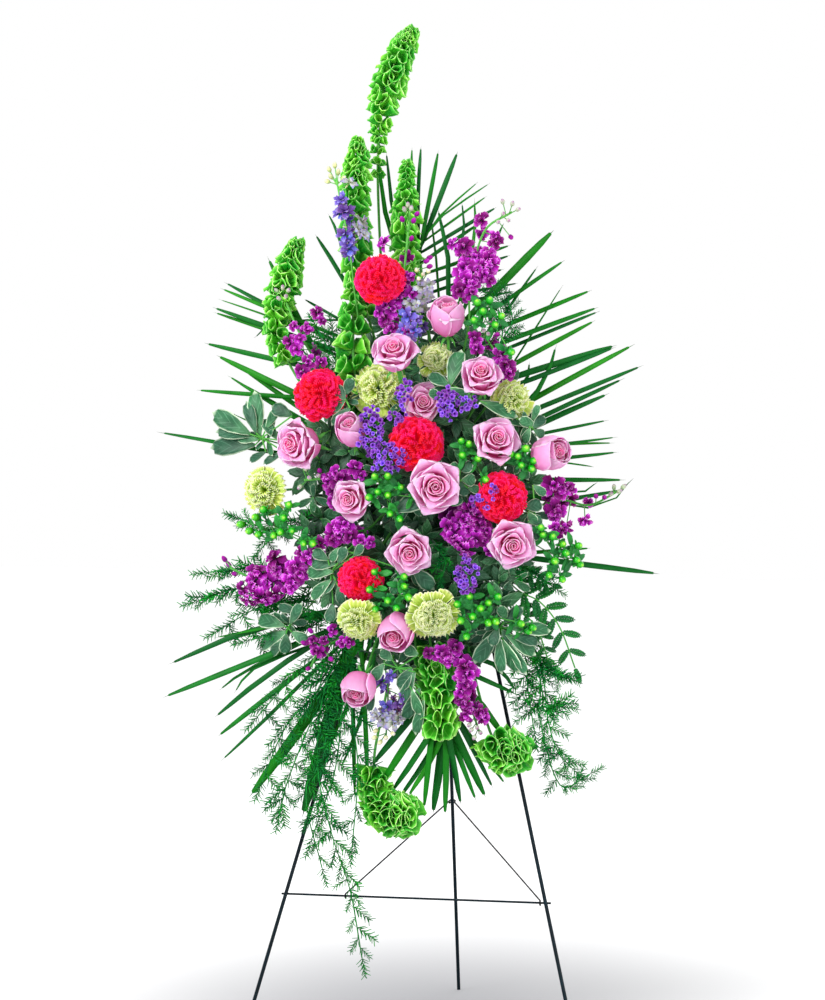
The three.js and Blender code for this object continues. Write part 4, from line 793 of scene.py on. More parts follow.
# seen: the middle of the bloom in the picture. faces: across, towards the viewer, up.
roses = [
    {"seen": (447, 315), "size": 62, "forward": -10, "tall": 1.15, "faces": (0.05, 0.5, 0.8), "kind": "flared"},
    {"seen": (394, 352), "size": 72, "forward": 25, "faces": (0.0, 0.8, 0.55)},
    {"seen": (481, 375), "size": 66, "forward": 10, "faces": (0.12, 0.85, 0.42), "tall": 1.1},
    {"seen": (423, 403), "size": 64, "forward": -22, "faces": (0.2, 0.95, 0.1)},
    {"seen": (351, 429), "size": 52, "forward": 0, "tall": 1.3, "faces": (-0.1, 0.75, 0.55), "kind": "bud"},
    {"seen": (297, 444), "size": 81, "forward": 10, "faces": (-0.5, 0.85, -0.05)},
    {"seen": (496, 440), "size": 75, "forward": 5, "faces": (0.35, 0.85, 0.25)},
    {"seen": (552, 453), "size": 66, "forward": 5, "tall": 1.1, "faces": (0.7, 0.6, 0.15), "kind": "bud"},
    {"seen": (435, 487), "size": 84, "forward": 28},
    {"seen": (351, 499), "size": 65, "forward": 5, "faces": (-0.22, 0.95, -0.1)},
    {"seen": (410, 552), "size": 73, "forward": 5},
    {"seen": (512, 545), "size": 74, "forward": 10, "faces": (0.25, 0.9, -0.08)},
    {"seen": (395, 632), "size": 64, "forward": -5, "tall": 1.1, "faces": (-0.05, 0.75, -0.45), "kind": "bud"},
    {"seen": (358, 689), "size": 60, "forward": 20, "tall": 1.1, "faces": (-0.1, 0.7, -0.5), "kind": "bud"},
]


def addBloom(number, slotName, kind, bloom, head, spin):
    at = spot(*bloom["seen"], domeOut(*bloom["seen"]) + bloom["forward"])
    faces = bloom.get("faces")
    axis = Vector((faces[0], -faces[1], faces[2])) if faces else at - focus
    axis.normalize()
    size, tall = bloom["size"], bloom.get("tall", 1)
    base = at - axis * size * tall * 0.5
    line = stemThrough([base - axis * 35, base], kind)
    node = "%s_%02d" % (slotName, number)
    shapes = [placed(head, standing(base, axis, spin, (size, size, size * tall))), stalks([line], stems[kind][1])]
    gather(node + "_bloom", shapes, [node])


for number, bloom in enumerate(roses, 1):
    head = roseHead(bloom.get("kind", "open"))
    addBloom(number, "rose", "rose", bloom, head, chance.uniform(0, 6))
print("roses")


# Carnations: fringed petals from a narrow foot, turned out all round
carnationLooks = {
    "hot": {"rows": [(0, 0.03, 0), (0.62, 0.11, 0), (0.86, 0.16, 0), (1, 0.18, 0)],
            "ruffle": 0.07, "teeth": 0.025, "count": 124, "dome": 92, "reach": 0.52, "skirt": 6,
            "surface": "hotCarnationPetal"},
    "lime": {"rows": [(0, 0.03, 0), (0.62, 0.11, 0), (0.86, 0.16, 0), (1, 0.19, -0.02)],
             "ruffle": 0.08, "teeth": 0.03, "count": 86, "dome": 62, "reach": 0.42, "skirt": 15,
             "surface": "limeCarnationPetal"},
    "loose": {"rows": [(0, 0.03, 0), (0.4, 0.12, 0), (0.7, 0.22, 0.02), (0.9, 0.27, 0), (1, 0.25, -0.05)],
              "ruffle": 0.09, "teeth": 0.03, "count": 38, "dome": 64, "reach": 0.44, "skirt": 10,
              "surface": "limeCarnationPetal"},
}
frills = {
    kind: leafShape(look["surface"], look["rows"], 0.012, 8, ruffle=look["ruffle"], teeth=look["teeth"])
    for kind, look in carnationLooks.items()
}
calyxShape = roundShape("greenStem", [(0.05, 0.0), (0.085, 0.05), (0.1, 0.16), (0.11, 0.26), (0.16, 0.34)], 8)


def carnationHead(kind):
    look = carnationLooks[kind]
    parts = [calyxShape]
    foot = Vector((0, 0, 0.2))
    for k in range(look["count"]):
        share = (k + 0.5) / look["count"]
        a = k * goldenAngle
        way = fanned(math.radians(5 + (look["dome"] - 5) * share ** 0.55), a)
        face = Vector((math.cos(a * 1.7), math.sin(a * 1.7), 0.1)) if share < 0.12 else up
        reach = look["reach"] * chance.uniform(0.94, 1.04)
        twist = Matrix.Rotation(chance.uniform(-1, 1) * (1.6 - 0.9 * share), 4, "Y")
        turned = lying(foot, way, face, (reach * chance.uniform(0.85, 1.1), reach, reach)) @ twist
        parts.append(placed(frills[kind], turned, chance.random(), bow=0.15 * share))
    for k in range(look["skirt"]):
        a = k * 2 * math.pi / look["skirt"] + chance.uniform(-0.2, 0.2)
        way = Vector((math.cos(a), math.sin(a), chance.uniform(0.0, 0.28))).normalized()
        reach = 0.54 * chance.uniform(0.9, 1.06)
        wide = reach * chance.uniform(1.2, 1.7)
        parts.append(placed(frills[kind], lying(foot, way, up, (wide, reach, reach * 1.3)), chance.random(), bow=0.1))
    return joined(parts)


hotCarnations = [
    {"seen": (378, 273), "size": 78, "forward": 20, "faces": (0.0, 0.85, 0.45)},
    {"seen": (315, 390), "size": 80, "forward": 5},
    {"seen": (416, 441), "size": 84, "forward": 2},
    {"seen": (505, 498), "size": 78, "forward": 5},
    {"seen": (358, 583), "size": 70, "forward": 0},
]
limeCarnations = [
    {"seen": (377, 384), "size": 82, "forward": -25, "kind": "loose"},
    {"seen": (437, 355), "size": 60, "forward": -32},
    {"seen": (258, 490), "size": 72, "forward": 0, "kind": "loose"},
    {"seen": (356, 625), "size": 64, "forward": 20, "kind": "loose"},
    {"seen": (434, 621), "size": 80, "forward": 20, "kind": "lime"},
    {"seen": (515, 397), "size": 62, "forward": -15, "kind": "loose"},
]
for kind, blooms in (("hot", hotCarnations), ("lime", limeCarnations)):
    for number, bloom in enumerate(blooms, 1):
        head = carnationHead(bloom.get("kind", kind))
        addBloom(number, kind + "_carnation", "carnation", bloom, head, number * 1.3)
print("carnations")


# Bells of Ireland: whorls of cups that face outwards, closer together towards the tip
cupRings = [(0.06, 0.0), (0.26, 0.2), (0.43, 0.54), (0.53, 0.82), (0.62, 0.99)]
cupShapes = [roundShape("bellCup", cupRings, 10, thick=0.03, lobes=0.07, uneven=0.09) for _ in range(4)]
# widths: of the spike from its foot to its tip. step: between whorls, as a share of the width there.
bells = {
    "bells_01": {"places": [(385, 300, 10), (378, 190, -10), (380, 125, -5), (387, 90, -3), (399, 58, 0),
        (412, 30, 0)], "from": 0.36, "widths": (20, 20, 36, 46, 42, 36, 30, 14), "step": (0.85, 0.42)},
    "bells_02": {"places": [(372, 330, 45), (357, 262, 52), (356, 190, 46), (358, 140, 40)], "from": 0.3,
        "widths": (36, 38, 38, 38, 32, 16), "step": (0.52, 0.4)},
    "bells_03": {"places": [(408, 340, 30), (406, 255, 25), (407, 165, 15)], "from": 0.4,
        "widths": (44, 42, 38, 33, 16), "step": (0.5, 0.42)},
    "bells_04": {"places": [(314, 400, 30), (278, 335, 40), (284, 285, 36), (297, 243, 30)], "from": 0.4,
        "widths": (32, 34, 40, 36, 18), "step": (0.55, 0.42)},
    "bells_05": {"places": [(372, 430, 70), (355, 375, 90), (353, 290, 70)], "from": 0.34,
        "widths": (48, 52, 50, 42, 22), "step": (0.52, 0.42)},
    "bells_06": {"places": [(430, 640, 70), (437, 680, 100), (440, 730, 112)], "from": 0.4,
        "widths": (46, 48, 52, 50), "step": (0.3, 0.3)},
    "bells_07": {"places": [(478, 690, 50), (496, 744, 75), (518, 754, 82)], "from": 0.6, "widths": (52, 56, 46),
        "step": (0.26, 0.22)},
    "bells_08": {"places": [(385, 700, 50), (374, 762, 60), (382, 808, 62), (406, 816, 64)], "from": 0.53,
        "widths": (42, 48, 56, 48), "step": (0.28, 0.26)},
}
widestCup = 25
for node, spike in bells.items():
    whole = stemThrough(spots(spike["places"]), "bells")
    line = whole[1:]
    shapes = [stalks([whole], stems["bells"][1])]
    length = sum((b - a).length for a, b in zip(line, line[1:]))
    first, last = spike["step"]
    t, row = spike["from"], 0
    while t < 1.0:
        share = (t - spike["from"]) / (1 - spike["from"])
        width = float(np.interp(share, np.linspace(0, 1, len(spike["widths"])), spike["widths"]))
        at, along = onLine(line, t)
        for k in range(6):
            way = outward(along, row * 0.52 + k * math.pi / 3 + chance.uniform(-0.2, 0.2))
            tilt = (way + along * chance.uniform(0.2, 1.0)).normalized()
            size = min(width * 0.6, widestCup) * chance.uniform(0.85, 1.1)
            off = 1.5 + max(0, width * 0.6 - widestCup)
            cup = chance.choice(cupShapes)
            foot = at + way * off + along * chance.uniform(-4, 4)
            spin = chance.uniform(-0.7, 0.7)
            thin, wide = size * chance.uniform(0.42, 0.78), size * chance.uniform(0.85, 1.15)
            shapes.append(placed(cup, standing(foot, tilt, spin, (thin, wide, size)), chance.random()))
        t += width * (first + (last - first) * share) / length
        row += 1
    for k in range(4):
        at, along = onLine(line, 1)
        way = (along * 1.6 + outward(along, k * 1.6)).normalized()
        shapes.append(placed(cupShapes[k], standing(at, way, k, [spike["widths"][-1] * 0.3] * 3), chance.random()))
    gather(node + "_spike", shapes, [node])
print("bells of Ireland")


# Stock and larkspur, double florets of crumpled petals and loose spurred ones
stockRows = [(0, 0.05, 0), (0.45, 0.28, 0.04), (0.8, 0.4, 0.02), (1, 0.28, -0.12)]
crumpled = leafShape("stockPetal", stockRows, 0.03, ruffle=0.12)
larkspurRows = [(0, 0.08, 0), (0.4, 0.24, 0.05), (0.75, 0.3, 0.02), (1, 0.16, -0.08)]
spurred = leafShape("larkspurPetal", larkspurRows, 0.03, ruffle=0.05)
budShape = takeShape(ball("bud", 6, 5, 1.9, 0.1), "downyBud", tall=True)
creamBudShape = {**recoloured(budShape, "creamBud"), "layer": budShape["layer"] * 0}
# rings: (petals, reach, slope in degrees). loose: how much they stray in turn, in slope and in bow.
florets = {
    "stock": {"petal": crumpled, "rings": ((4, 0.57, 78), (3, 0.5, 50), (3, 0.38, 22)),
              "loose": (0.2, 20, (-0.1, 0.5))},
    "larkspur": {"petal": spurred, "rings": ((5, 0.54, 68), (3, 0.4, 30)), "loose": (0.4, 22, (-0.2, 0.4))},
}


def floret(kind, layer):
    look = florets[kind]
    turns, slopes, bows = look["loose"]
    parts = []
    for count, reach, slope in look["rings"]:
        for k in range(count):
            a = k * 2 * math.pi / count + slope + chance.uniform(-turns, turns)
            way = fanned(math.radians(slope + chance.uniform(-slopes, slopes)), a)
            turned = lying(origin, way, up, [reach * chance.uniform(0.8, 1.15)] * 3)
            parts.append(placed(look["petal"], turned, chance.random(), layer, bow=chance.uniform(*bows)))
    if kind == "larkspur":
        parts.append(placed(creamBudShape, standing(origin, Vector((0.3, 0, -1)), 0, (0.1, 0.1, 0.45))))
    return joined(parts)


floretKinds = {
    "stock": [floret("stock", 1.0) for _ in range(4)],
    "violet": [floret("larkspur", 1.0) for _ in range(3)],
    "pale": [floret("larkspur", 0.2) for _ in range(3)],
}
budKinds = {"buds": (recoloured(budShape, "magentaBud"), 11), "downy": (budShape, 10), "cream": (creamBudShape, 10)}
# places: (across, down, out) along the spike. Its open florets are (across, down, width) in the picture, its buds
# (across, down).
stocks = {
    "stock_top": [
        {"places": [(468, 330, 55), (470, 285, 60), (484, 232, 50), (512, 212, 40)],
         "stock": [(463, 247, 20), (470, 256, 17), (464, 268, 20), (466, 281, 22), (473, 283, 14), (483, 267, 20),
             (491, 262, 20), (489, 254, 15), (485, 274, 15), (491, 280, 11), (477, 270, 17), (496, 243, 14),
             (495, 236, 11), (481, 220, 14), (452, 243, 10), (459, 291, 15), (472, 293, 12), (476, 258, 12)],
         "buds": [(510, 236)], "downy": [(503, 203), (517, 210), (508, 220), (512, 205), (503, 214), (498, 222)]},
        {"places": [(402, 360, 80), (401, 310, 92), (410, 212, 80)],
         "stock": [(383, 243, 14), (409, 276, 11), (404, 288, 13), (412, 294, 14), (398, 298, 13), (385, 305, 16),
             (384, 318, 17), (391, 328, 14), (393, 309, 13), (408, 331, 11), (378, 312, 12)],
         "buds": [(428, 258), (428, 267), (403, 221), (416, 215), (413, 222), (411, 240), (425, 262)],
         "downy": [(408, 207), (405, 211), (411, 210)]},
        {"places": [(490, 400, 70), (500, 365, 80), (484, 335, 70)],
         "stock": [(475, 339, 14), (476, 348, 12), (502, 355, 15), (505, 364, 16), (509, 373, 14), (501, 349, 11)],
         "buds": [(471, 334), (497, 335)], "downy": [(493, 321), (490, 324), (484, 331), (495, 327), (488, 334)]},
    ],
    "stock_left": [
        {"places": [(340, 390, 45), (306, 345, 60), (281, 291, 50)],
         "stock": [(318, 312, 13), (322, 320, 10), (294, 326, 10), (307, 328, 11), (289, 342, 15), (296, 349, 15),
             (308, 362, 13), (302, 373, 14), (321, 361, 10), (300, 339, 12)],
         "downy": [(278, 292), (283, 289), (288, 291), (280, 299), (286, 297)]},
        {"places": [(360, 500, 60), (335, 480, 110), (304, 480, 115)],
         "stock": [(356, 467, 16), (340, 479, 19), (334, 491, 19), (333, 503, 14), (328, 481, 15), (345, 490, 14),
             (341, 505, 13), (336, 473, 13), (361, 475, 12)], "buds": [(320, 472)],
         "downy": [(301, 464), (319, 476), (301, 486), (306, 470), (310, 478)]},
        {"places": [(335, 560, 60), (300, 568, 80), (262, 580, 85), (230, 568, 75)],
         "stock": [(273, 557, 19), (275, 566, 19), (258, 570, 21), (266, 583, 26), (253, 585, 19), (280, 571, 15),
             (260, 600, 19), (275, 596, 16), (247, 602, 17), (267, 603, 13), (295, 568, 19), (292, 581, 21),
             (308, 555, 15), (301, 552, 13), (290, 588, 15), (318, 550, 13), (242, 591, 13), (300, 574, 14)],
         "buds": [(226, 561), (237, 574), (243, 582), (230, 566)]},
        {"places": [(365, 530, 70), (330, 533, 120)],
         "stock": [(338, 527, 20), (345, 524, 16), (333, 539, 18), (350, 536, 15), (361, 541, 13), (370, 543, 10),
             (340, 535, 15), (319, 544, 14)]},
    ],
    "stock_right": [
        {"places": [(450, 515, 80), (470, 525, 130), (497, 538, 135)],
         "stock": [(471, 507, 18), (477, 514, 18), (464, 519, 18), (449, 527, 19), (454, 537, 19), (468, 528, 19),
             (461, 547, 18), (465, 552, 15), (457, 543, 14), (482, 524, 15), (487, 531, 13), (485, 540, 13),
             (490, 553, 12), (475, 540, 14)], "buds": [(506, 534)],
         "downy": [(494, 538), (500, 534), (497, 541), (494, 531)]},
        {"places": [(530, 505, 50), (562, 500, 70), (590, 505, 60), (620, 490, 50)],
         "stock": [(554, 485, 19), (561, 490, 15), (566, 487, 11), (557, 510, 19), (557, 516, 13), (561, 531, 15),
             (566, 528, 13), (555, 529, 11), (585, 521, 12), (572, 489, 11)], "buds": [(596, 497), (604, 498)],
         "downy": [(610, 495), (618, 492), (622, 488), (614, 489)]},
    ],
    "stock_bottom": [
        {"places": [(350, 630, 60), (322, 648, 90), (310, 668, 95)],
         "stock": [(332, 630, 10), (342, 643, 10), (312, 641, 12), (316, 651, 12), (349, 642, 10), (324, 640, 9)],
         "buds": [(312, 632), (330, 658), (309, 668), (306, 644)]},
        {"places": [(448, 640, 70), (462, 680, 95), (480, 734, 95)],
         "stock": [(428, 654, 11), (440, 654, 15), (447, 655, 17), (456, 648, 15), (449, 660, 13), (464, 667, 19),
             (469, 674, 19), (462, 678, 15), (466, 685, 17), (461, 692, 15), (459, 700, 13), (464, 704, 13),
             (481, 712, 13), (466, 715, 14), (485, 717, 12), (470, 709, 10)],
         "downy": [(472, 729), (477, 727), (480, 732), (475, 736), (470, 724)]},
    ],
}
larkspurs = {
    "larkspur_top": [
        {"places": [(362, 335, 75), (349, 245, 110), (336, 178, 92)],
         "violet": [(341, 199, 15), (345, 210, 19), (338, 213, 13), (343, 233, 17), (348, 247, 17),
             (350, 239, 11)], "pale": [(351, 181, 14), (363, 220, 17), (360, 228, 17), (365, 234, 13)],
         "cream": [(330, 171), (335, 167), (338, 174), (332, 178), (329, 182), (337, 184), (342, 180)]},
        {"places": [(420, 365, 60), (417, 325, 90), (422, 278, 85)],
         "violet": [(407, 316, 18), (413, 330, 15), (403, 331, 14), (417, 320, 12), (398, 343, 13),
             (410, 339, 12)],
         "pale": [(420, 285, 15), (429, 285, 13), (424, 297, 15), (410, 301, 15), (417, 306, 13), (430, 296, 10)],
         "cream": [(417, 271), (423, 275), (428, 272), (419, 279)]},
    ],
    "larkspur_low": [
        {"places": [(385, 645, 70), (388, 690, 95), (386, 738, 95)],
         "violet": [(381, 682, 16), (390, 676, 12), (404, 697, 14), (387, 707, 16), (400, 704, 12),
             (376, 672, 10)],
         "pale": [(376, 716, 13), (383, 720, 16), (394, 723, 16), (400, 718, 12), (389, 714, 12)],
         "cream": [(377, 730), (386, 737), (381, 741), (376, 737), (392, 733)]},
    ],
}


def measuredSpike(spike, kind):
    whole = stemThrough(spots(spike["places"]), kind)
    flat = smoothLine([Vector(place) for place in spike["places"]], 10)
    deep = smoothLine(spots(spike["places"]), 10)
    lines, parts = [], []

    def onSpike(across, down, lift):
        i = min(range(len(flat)), key=lambda k: (flat[k].x - across) ** 2 + (flat[k].y - down) ** 2)
        out = flat[i].z + lift
        if domeOut(across, down) > dome["rim"]:
            out = max(out, domeOut(across, down) - 14)
        return spot(across, down, out), deep[max(i - 1, 0)]

    def flower(sort, at, way, size):
        shape = chance.choice(floretKinds[sort])
        return placed(shape, standing(at, way, chance.uniform(0, 6), [size] * 3), chance.random())

    for sort in floretKinds:
        for across, down, wide in spike.get(sort, []):
            at, joint = onSpike(across, down, chance.uniform(0, 8))
            way = (at - joint + Vector((0, -14, 2))).normalized()
            size = wide * picture["scale"] * 1.12
            lines.append([joint, at - way * size * 0.1])
            parts.append(flower(sort, at - way * size * 0.15, way, size))
            if chance.random() < 0.6:  # the far side of the spike flowers too
                back = joint + Vector((chance.uniform(-9, 9), chance.uniform(9, 16), chance.uniform(-6, 6)))
                parts.append(flower(sort, back, (back - joint).normalized(), size * 0.9))
    for sort, (shape, long) in budKinds.items():
        for across, down in spike.get(sort, []):
            at, joint = onSpike(across, down, chance.uniform(-4, 6))
            way = (at - joint + up).normalized()
            lines.append([joint, at])
            turned = standing(at - way * 3, way, 0, (long * 0.75, long * 0.75, long * 0.62))
            parts.append(placed(shape, turned, chance.random()))
    return [stalks([whole], stems[kind][1]), stalks(lines, 0.8), *parts]


gatherGroups(stocks, lambda spike: measuredSpike(spike, "stock"), "_florets")
gatherGroups(larkspurs, lambda spike: measuredSpike(spike, "larkspur"), "_florets")
print("stock and larkspur")


# Statice: heads of small paper funnels. Each head is (across, down, half width, half height, funnels) in the picture.
funnelRings = [(0.08, 0.0), (0.16, 0.4), (0.36, 0.75), (0.58, 0.9)]
funnelShape = roundShape("staticePaper", funnelRings, 8, thick=0.05, lobes=0.12)
statices = {
    "forward": 8,
    "heads": [
        (371, 431, 12, 22, 66), (389, 458, 17, 13, 58), (397, 418, 7, 6, 14), (404, 393, 7, 12, 20),
        (448, 403, 10, 15, 40), (467, 404, 9, 7, 20), (467, 575, 10, 18, 52), (475, 499, 4, 5, 7),
        (485, 501, 4, 6, 7), (494, 492, 4, 6, 8),
    ],
}
shapes, branches = [], []
for across, down, halfWide, halfHigh, count in statices["heads"]:
    tip = spot(across, down, domeOut(across, down) + statices["forward"] - 26)
    branches.append(stemThrough([tip.lerp(focus, 0.1), tip], "statice"))
    for k in range(count):
        r = math.sqrt((k + 0.5) / count)
        a = k * goldenAngle
        px = across + halfWide * r * math.cos(a) + chance.uniform(-2, 2)
        py = down + halfHigh * r * math.sin(a) + chance.uniform(-2, 2)
        end = spot(px, py, domeOut(px, py) + statices["forward"] + 6 * (1 - r) + chance.uniform(-12, 6))
        stray = Vector([chance.uniform(-0.6, 0.6) for _ in range(3)])
        way = ((end - tip).normalized() + Vector((0, -0.5, 0.3)) + stray).normalized()
        if k % 6 == 0:
            branches.append([tip, end])
        size = chance.uniform(4.8, 8.4)
        shapes.append(placed(funnelShape, standing(end, way, chance.uniform(0, 6), [size] * 3), chance.random()))
shapes.append(stalks(branches, stems["statice"][1]))
gather("statice_heads", shapes, ["statice"])
print("statice")


# Hypericum: berries on forked stalks, each on its sepals, with small dark leaves
berryShape = takeShape(ball("berry", 8, 6, 1.15, 0.08), "hypericumBerry", tall=True)
roundRows = [(0, 0.05, 0), (0.3, 0.2, 0.02), (0.65, 0.22, 0.02), (0.9, 0.12, -0.02), (1, 0.03, -0.05)]
roundLeaf = leafShape("hypericumLeaf", roundRows, 0.02, fold=0.2)
# Each cluster: where its stalk forks, and its berries
berries = {
    "hypericum_left": [
        ((386, 494), [(376, 478), (388, 478), (379, 492), (371, 497), (388, 495), (390, 512), (399, 517),
         (414, 497), (400, 488)]),
        ((272, 524), [(253, 530), (259, 518), (266, 511), (275, 534), (281, 531), (284, 518), (289, 506),
         (292, 530), (303, 542), (312, 542), (261, 533), (246, 524)]),
        ((388, 592), [(376, 573), (372, 589), (388, 599), (377, 607), (396, 606), (403, 577), (403, 586),
         (407, 596)]),
    ],
    "hypericum_right": [
        ((487, 315), [(475, 321), (489, 303), (478, 305), (500, 317), (483, 313), (494, 325), (509, 351)]),
        ((472, 460), [(462, 443), (469, 446), (477, 459), (484, 478), (463, 456)]),
        ((524, 461), [(525, 450), (518, 457), (532, 461), (512, 455), (521, 465), (530, 468)]),
    ],
    "hypericum_low": [
        ((478, 612), [(459, 604), (470, 597), (487, 603), (496, 597), (473, 615), (487, 621), (494, 620),
         (462, 619), (467, 634), (480, 608), (518, 622), (530, 626), (525, 629)]),
        ((555, 555), [(552, 538), (543, 536), (561, 545), (576, 546), (564, 553), (574, 559), (554, 560),
         (577, 563), (549, 573), (561, 577), (541, 529)]),
    ],
}


def berryCluster(cluster):
    (across, down), seen = cluster
    tip = spot(across, down, domeOut(across, down) - 34)
    branches, shapes = [stemThrough([tip.lerp(focus, 0.1), tip], "hypericum")], []
    for k, (px, py) in enumerate(seen):
        end = spot(px, py, domeOut(px, py) + chance.uniform(-4, 8))
        way = ((end - tip).normalized() + (end - focus).normalized()).normalized()
        branches.append(smoothLine([tip, tip.lerp(end, 0.5) + way * 5, end], 3))
        size = chance.uniform(11.5, 13.5)
        shapes.append(placed(berryShape, standing(end, way, 0, [size] * 3), chance.random()))
        for s in range(5):
            sepal = (outward(way, s * 1.257) + way * 0.2).normalized()
            shapes.append(placed(roundLeaf, lying(end, sepal, way, (10, 10, 10)), chance.random(), bow=0.2))
        for s in (0, 2.6):
            leafWay = (outward(way, k * 1.3 + s) + way * 0.25).normalized()
            at = end - way * chance.uniform(8, 16)
            turned = lying(at, leafWay, way, [chance.uniform(18, 27)] * 3)
            shapes.append(placed(roundLeaf, turned, chance.random(), bow=0.15))
    return [*shapes, stalks(branches, stems["hypericum"][1])]


gatherGroups(berries, berryCluster, "_berries")
print("hypericum")


# Pittosporum: whorls of leaves round a hub, each (foot across, down, tip across, down, width) in the picture
broadRows = [
    (0, 0.03, 0), (0.2, 0.1, 0.01), (0.45, 0.17, 0.02), (0.68, 0.19, 0.03), (0.88, 0.13, 0.0), (1, 0.03, -0.03),
]
broadLeaf = leafShape("pittosporumLeaf", broadRows, 0.012, fold=0.22)
darkRows = [(0, 0.04, 0), (0.24, 0.19, 0.01), (0.55, 0.23, 0.02), (0.85, 0.12, -0.01), (1, 0.02, -0.05)]
darkShape = leafShape("darkLeaf", darkRows, 0.012, fold=0.22)


def rosette(tip, axis, count, length, shape):
    parts = []
    for k in range(count):
        share = (k + 0.5) / count
        way = (outward(axis, k * goldenAngle) + axis * (0.9 - 0.95 * share)).normalized()
        size = length * (0.62 + 0.4 * share) * chance.uniform(0.9, 1.08)
        turned = lying(tip - axis * 6 * share, way, axis, [size] * 3)
        parts.append(placed(shape, turned, chance.random(), bow=chance.uniform(0.02, 0.2)))
    return parts


whorls = {
    "pittosporum_upper": [
        {"hub": (262, 438), "out": 52,
         "leaves": [(260, 436, 253, 390, 18), (256, 433, 245, 400, 13), (250, 434, 211, 412, 20),
             (252, 436, 215, 430, 15), (255, 445, 208, 447, 20), (258, 440, 236, 437, 12),
             (266, 429, 277, 408, 10), (266, 452, 248, 461, 9), (292, 416, 271, 406, 15), (284, 452, 262, 463, 9),
             (278, 440, 262, 418, 12)]},
        {"hub": (345, 398),
         "leaves": [(345, 400, 330, 410, 12), (345, 400, 335, 385, 12), (350, 408, 330, 425, 12),
             (345, 395, 352, 378, 12)]},
        {"hub": (452, 385),
         "leaves": [(450, 385, 459, 348, 19), (450, 386, 428, 374, 13), (450, 388, 470, 400, 13),
             (440, 400, 430, 390, 10), (470, 394, 462, 412, 12)]},
        {"hub": (528, 424),
         "leaves": [(480, 401, 519, 416, 15), (536, 426, 519, 419, 11), (533, 428, 545, 416, 11),
             (532, 422, 539, 404, 9), (534, 430, 545, 436, 10), (530, 428, 523, 444, 10)]},
    ],
    "pittosporum_lower": [
        {"hub": (331, 572),
         "leaves": [(336, 564, 309, 562, 15), (333, 572, 304, 572, 14), (331, 580, 309, 599, 14),
             (336, 580, 322, 592, 11), (338, 563, 345, 547, 12), (354, 556, 363, 545, 10),
             (333, 604, 329, 623, 13), (338, 586, 342, 606, 11), (328, 560, 312, 550, 12)]},
        {"hub": (288, 628),
         "leaves": [(284, 626, 255, 617, 16), (286, 632, 258, 647, 18), (286, 634, 285, 655, 13),
             (290, 624, 300, 604, 11), (292, 632, 308, 642, 12), (284, 640, 268, 656, 11),
             (300, 612, 276, 606, 10)]},
        {"hub": (500, 628),
         "leaves": [(498, 630, 474, 665, 16), (499, 636, 501, 675, 12), (503, 640, 518, 675, 15),
             (508, 642, 527, 675, 11), (506, 634, 538, 655, 15), (508, 628, 553, 629, 15),
             (504, 622, 523, 607, 13), (498, 628, 491, 646, 13), (502, 630, 513, 645, 11),
             (506, 620, 500, 606, 11), (512, 636, 540, 642, 12)]},
        {"hub": (459, 481),
         "leaves": [(459, 470, 450, 464, 11), (460, 470, 473, 465, 13), (462, 480, 476, 480, 13),
             (460, 482, 467, 496, 13), (452, 506, 462, 497, 10), (468, 488, 480, 490, 9)]},
        {"hub": (535, 515),
         "leaves": [(524, 507, 543, 504, 14), (528, 522, 543, 519, 12), (528, 531, 542, 536, 13),
             (533, 485, 546, 495, 9), (528, 512, 536, 524, 10)]},
        {"hub": (410, 572),
         "leaves": [(413, 568, 434, 590, 16), (394, 537, 413, 529, 12), (396, 578, 393, 596, 10),
             (393, 511, 427, 495, 22), (338, 548, 330, 562, 10)]},
        {"hub": (398, 668),
         "leaves": [(412, 668, 398, 690, 15), (415, 672, 400, 705, 12), (384, 664, 372, 680, 14),
             (392, 660, 380, 650, 12), (374, 690, 368, 712, 10), (418, 655, 404, 648, 12),
             (420, 688, 403, 722, 13), (424, 700, 414, 736, 12), (412, 690, 420, 716, 11)]},
    ],
}


def whorlLeaves(whorl):
    hub = spot(*whorl["hub"], whorl.get("out", domeOut(*whorl["hub"]) - 20))
    shapes, twigs = [], [stemThrough([hub.lerp(focus, 0.12), hub], "pittosporum")]
    for k, (footX, footY, tipX, tipY, wide) in enumerate(whorl["leaves"]):
        start = spot(footX, footY, whorl.get("out", domeOut(footX, footY) - 14) + 3 * (k % 3))
        end = spot(tipX, tipY, whorl.get("out", domeOut(tipX, tipY) - 8) + chance.uniform(-8, 8))
        length = (end - start).length
        face = Vector((chance.uniform(-0.35, 0.35), -1, chance.uniform(0, 0.5)))
        turned = lying(start, end - start, face, (wide * picture["scale"] / 0.38, length, length))
        shapes.append(placed(broadLeaf, turned, chance.random(), bow=chance.uniform(0, 0.12)))
        twigs.append([hub, start])
    axis = (hub - focus).normalized()
    hubLeaves = rosette(hub - axis * 10, axis, 5, 40, broadLeaf)
    return [*shapes, *hubLeaves, stalks(twigs, stems["pittosporum"][1])]


gatherGroups(whorls, whorlLeaves, "_leaves")

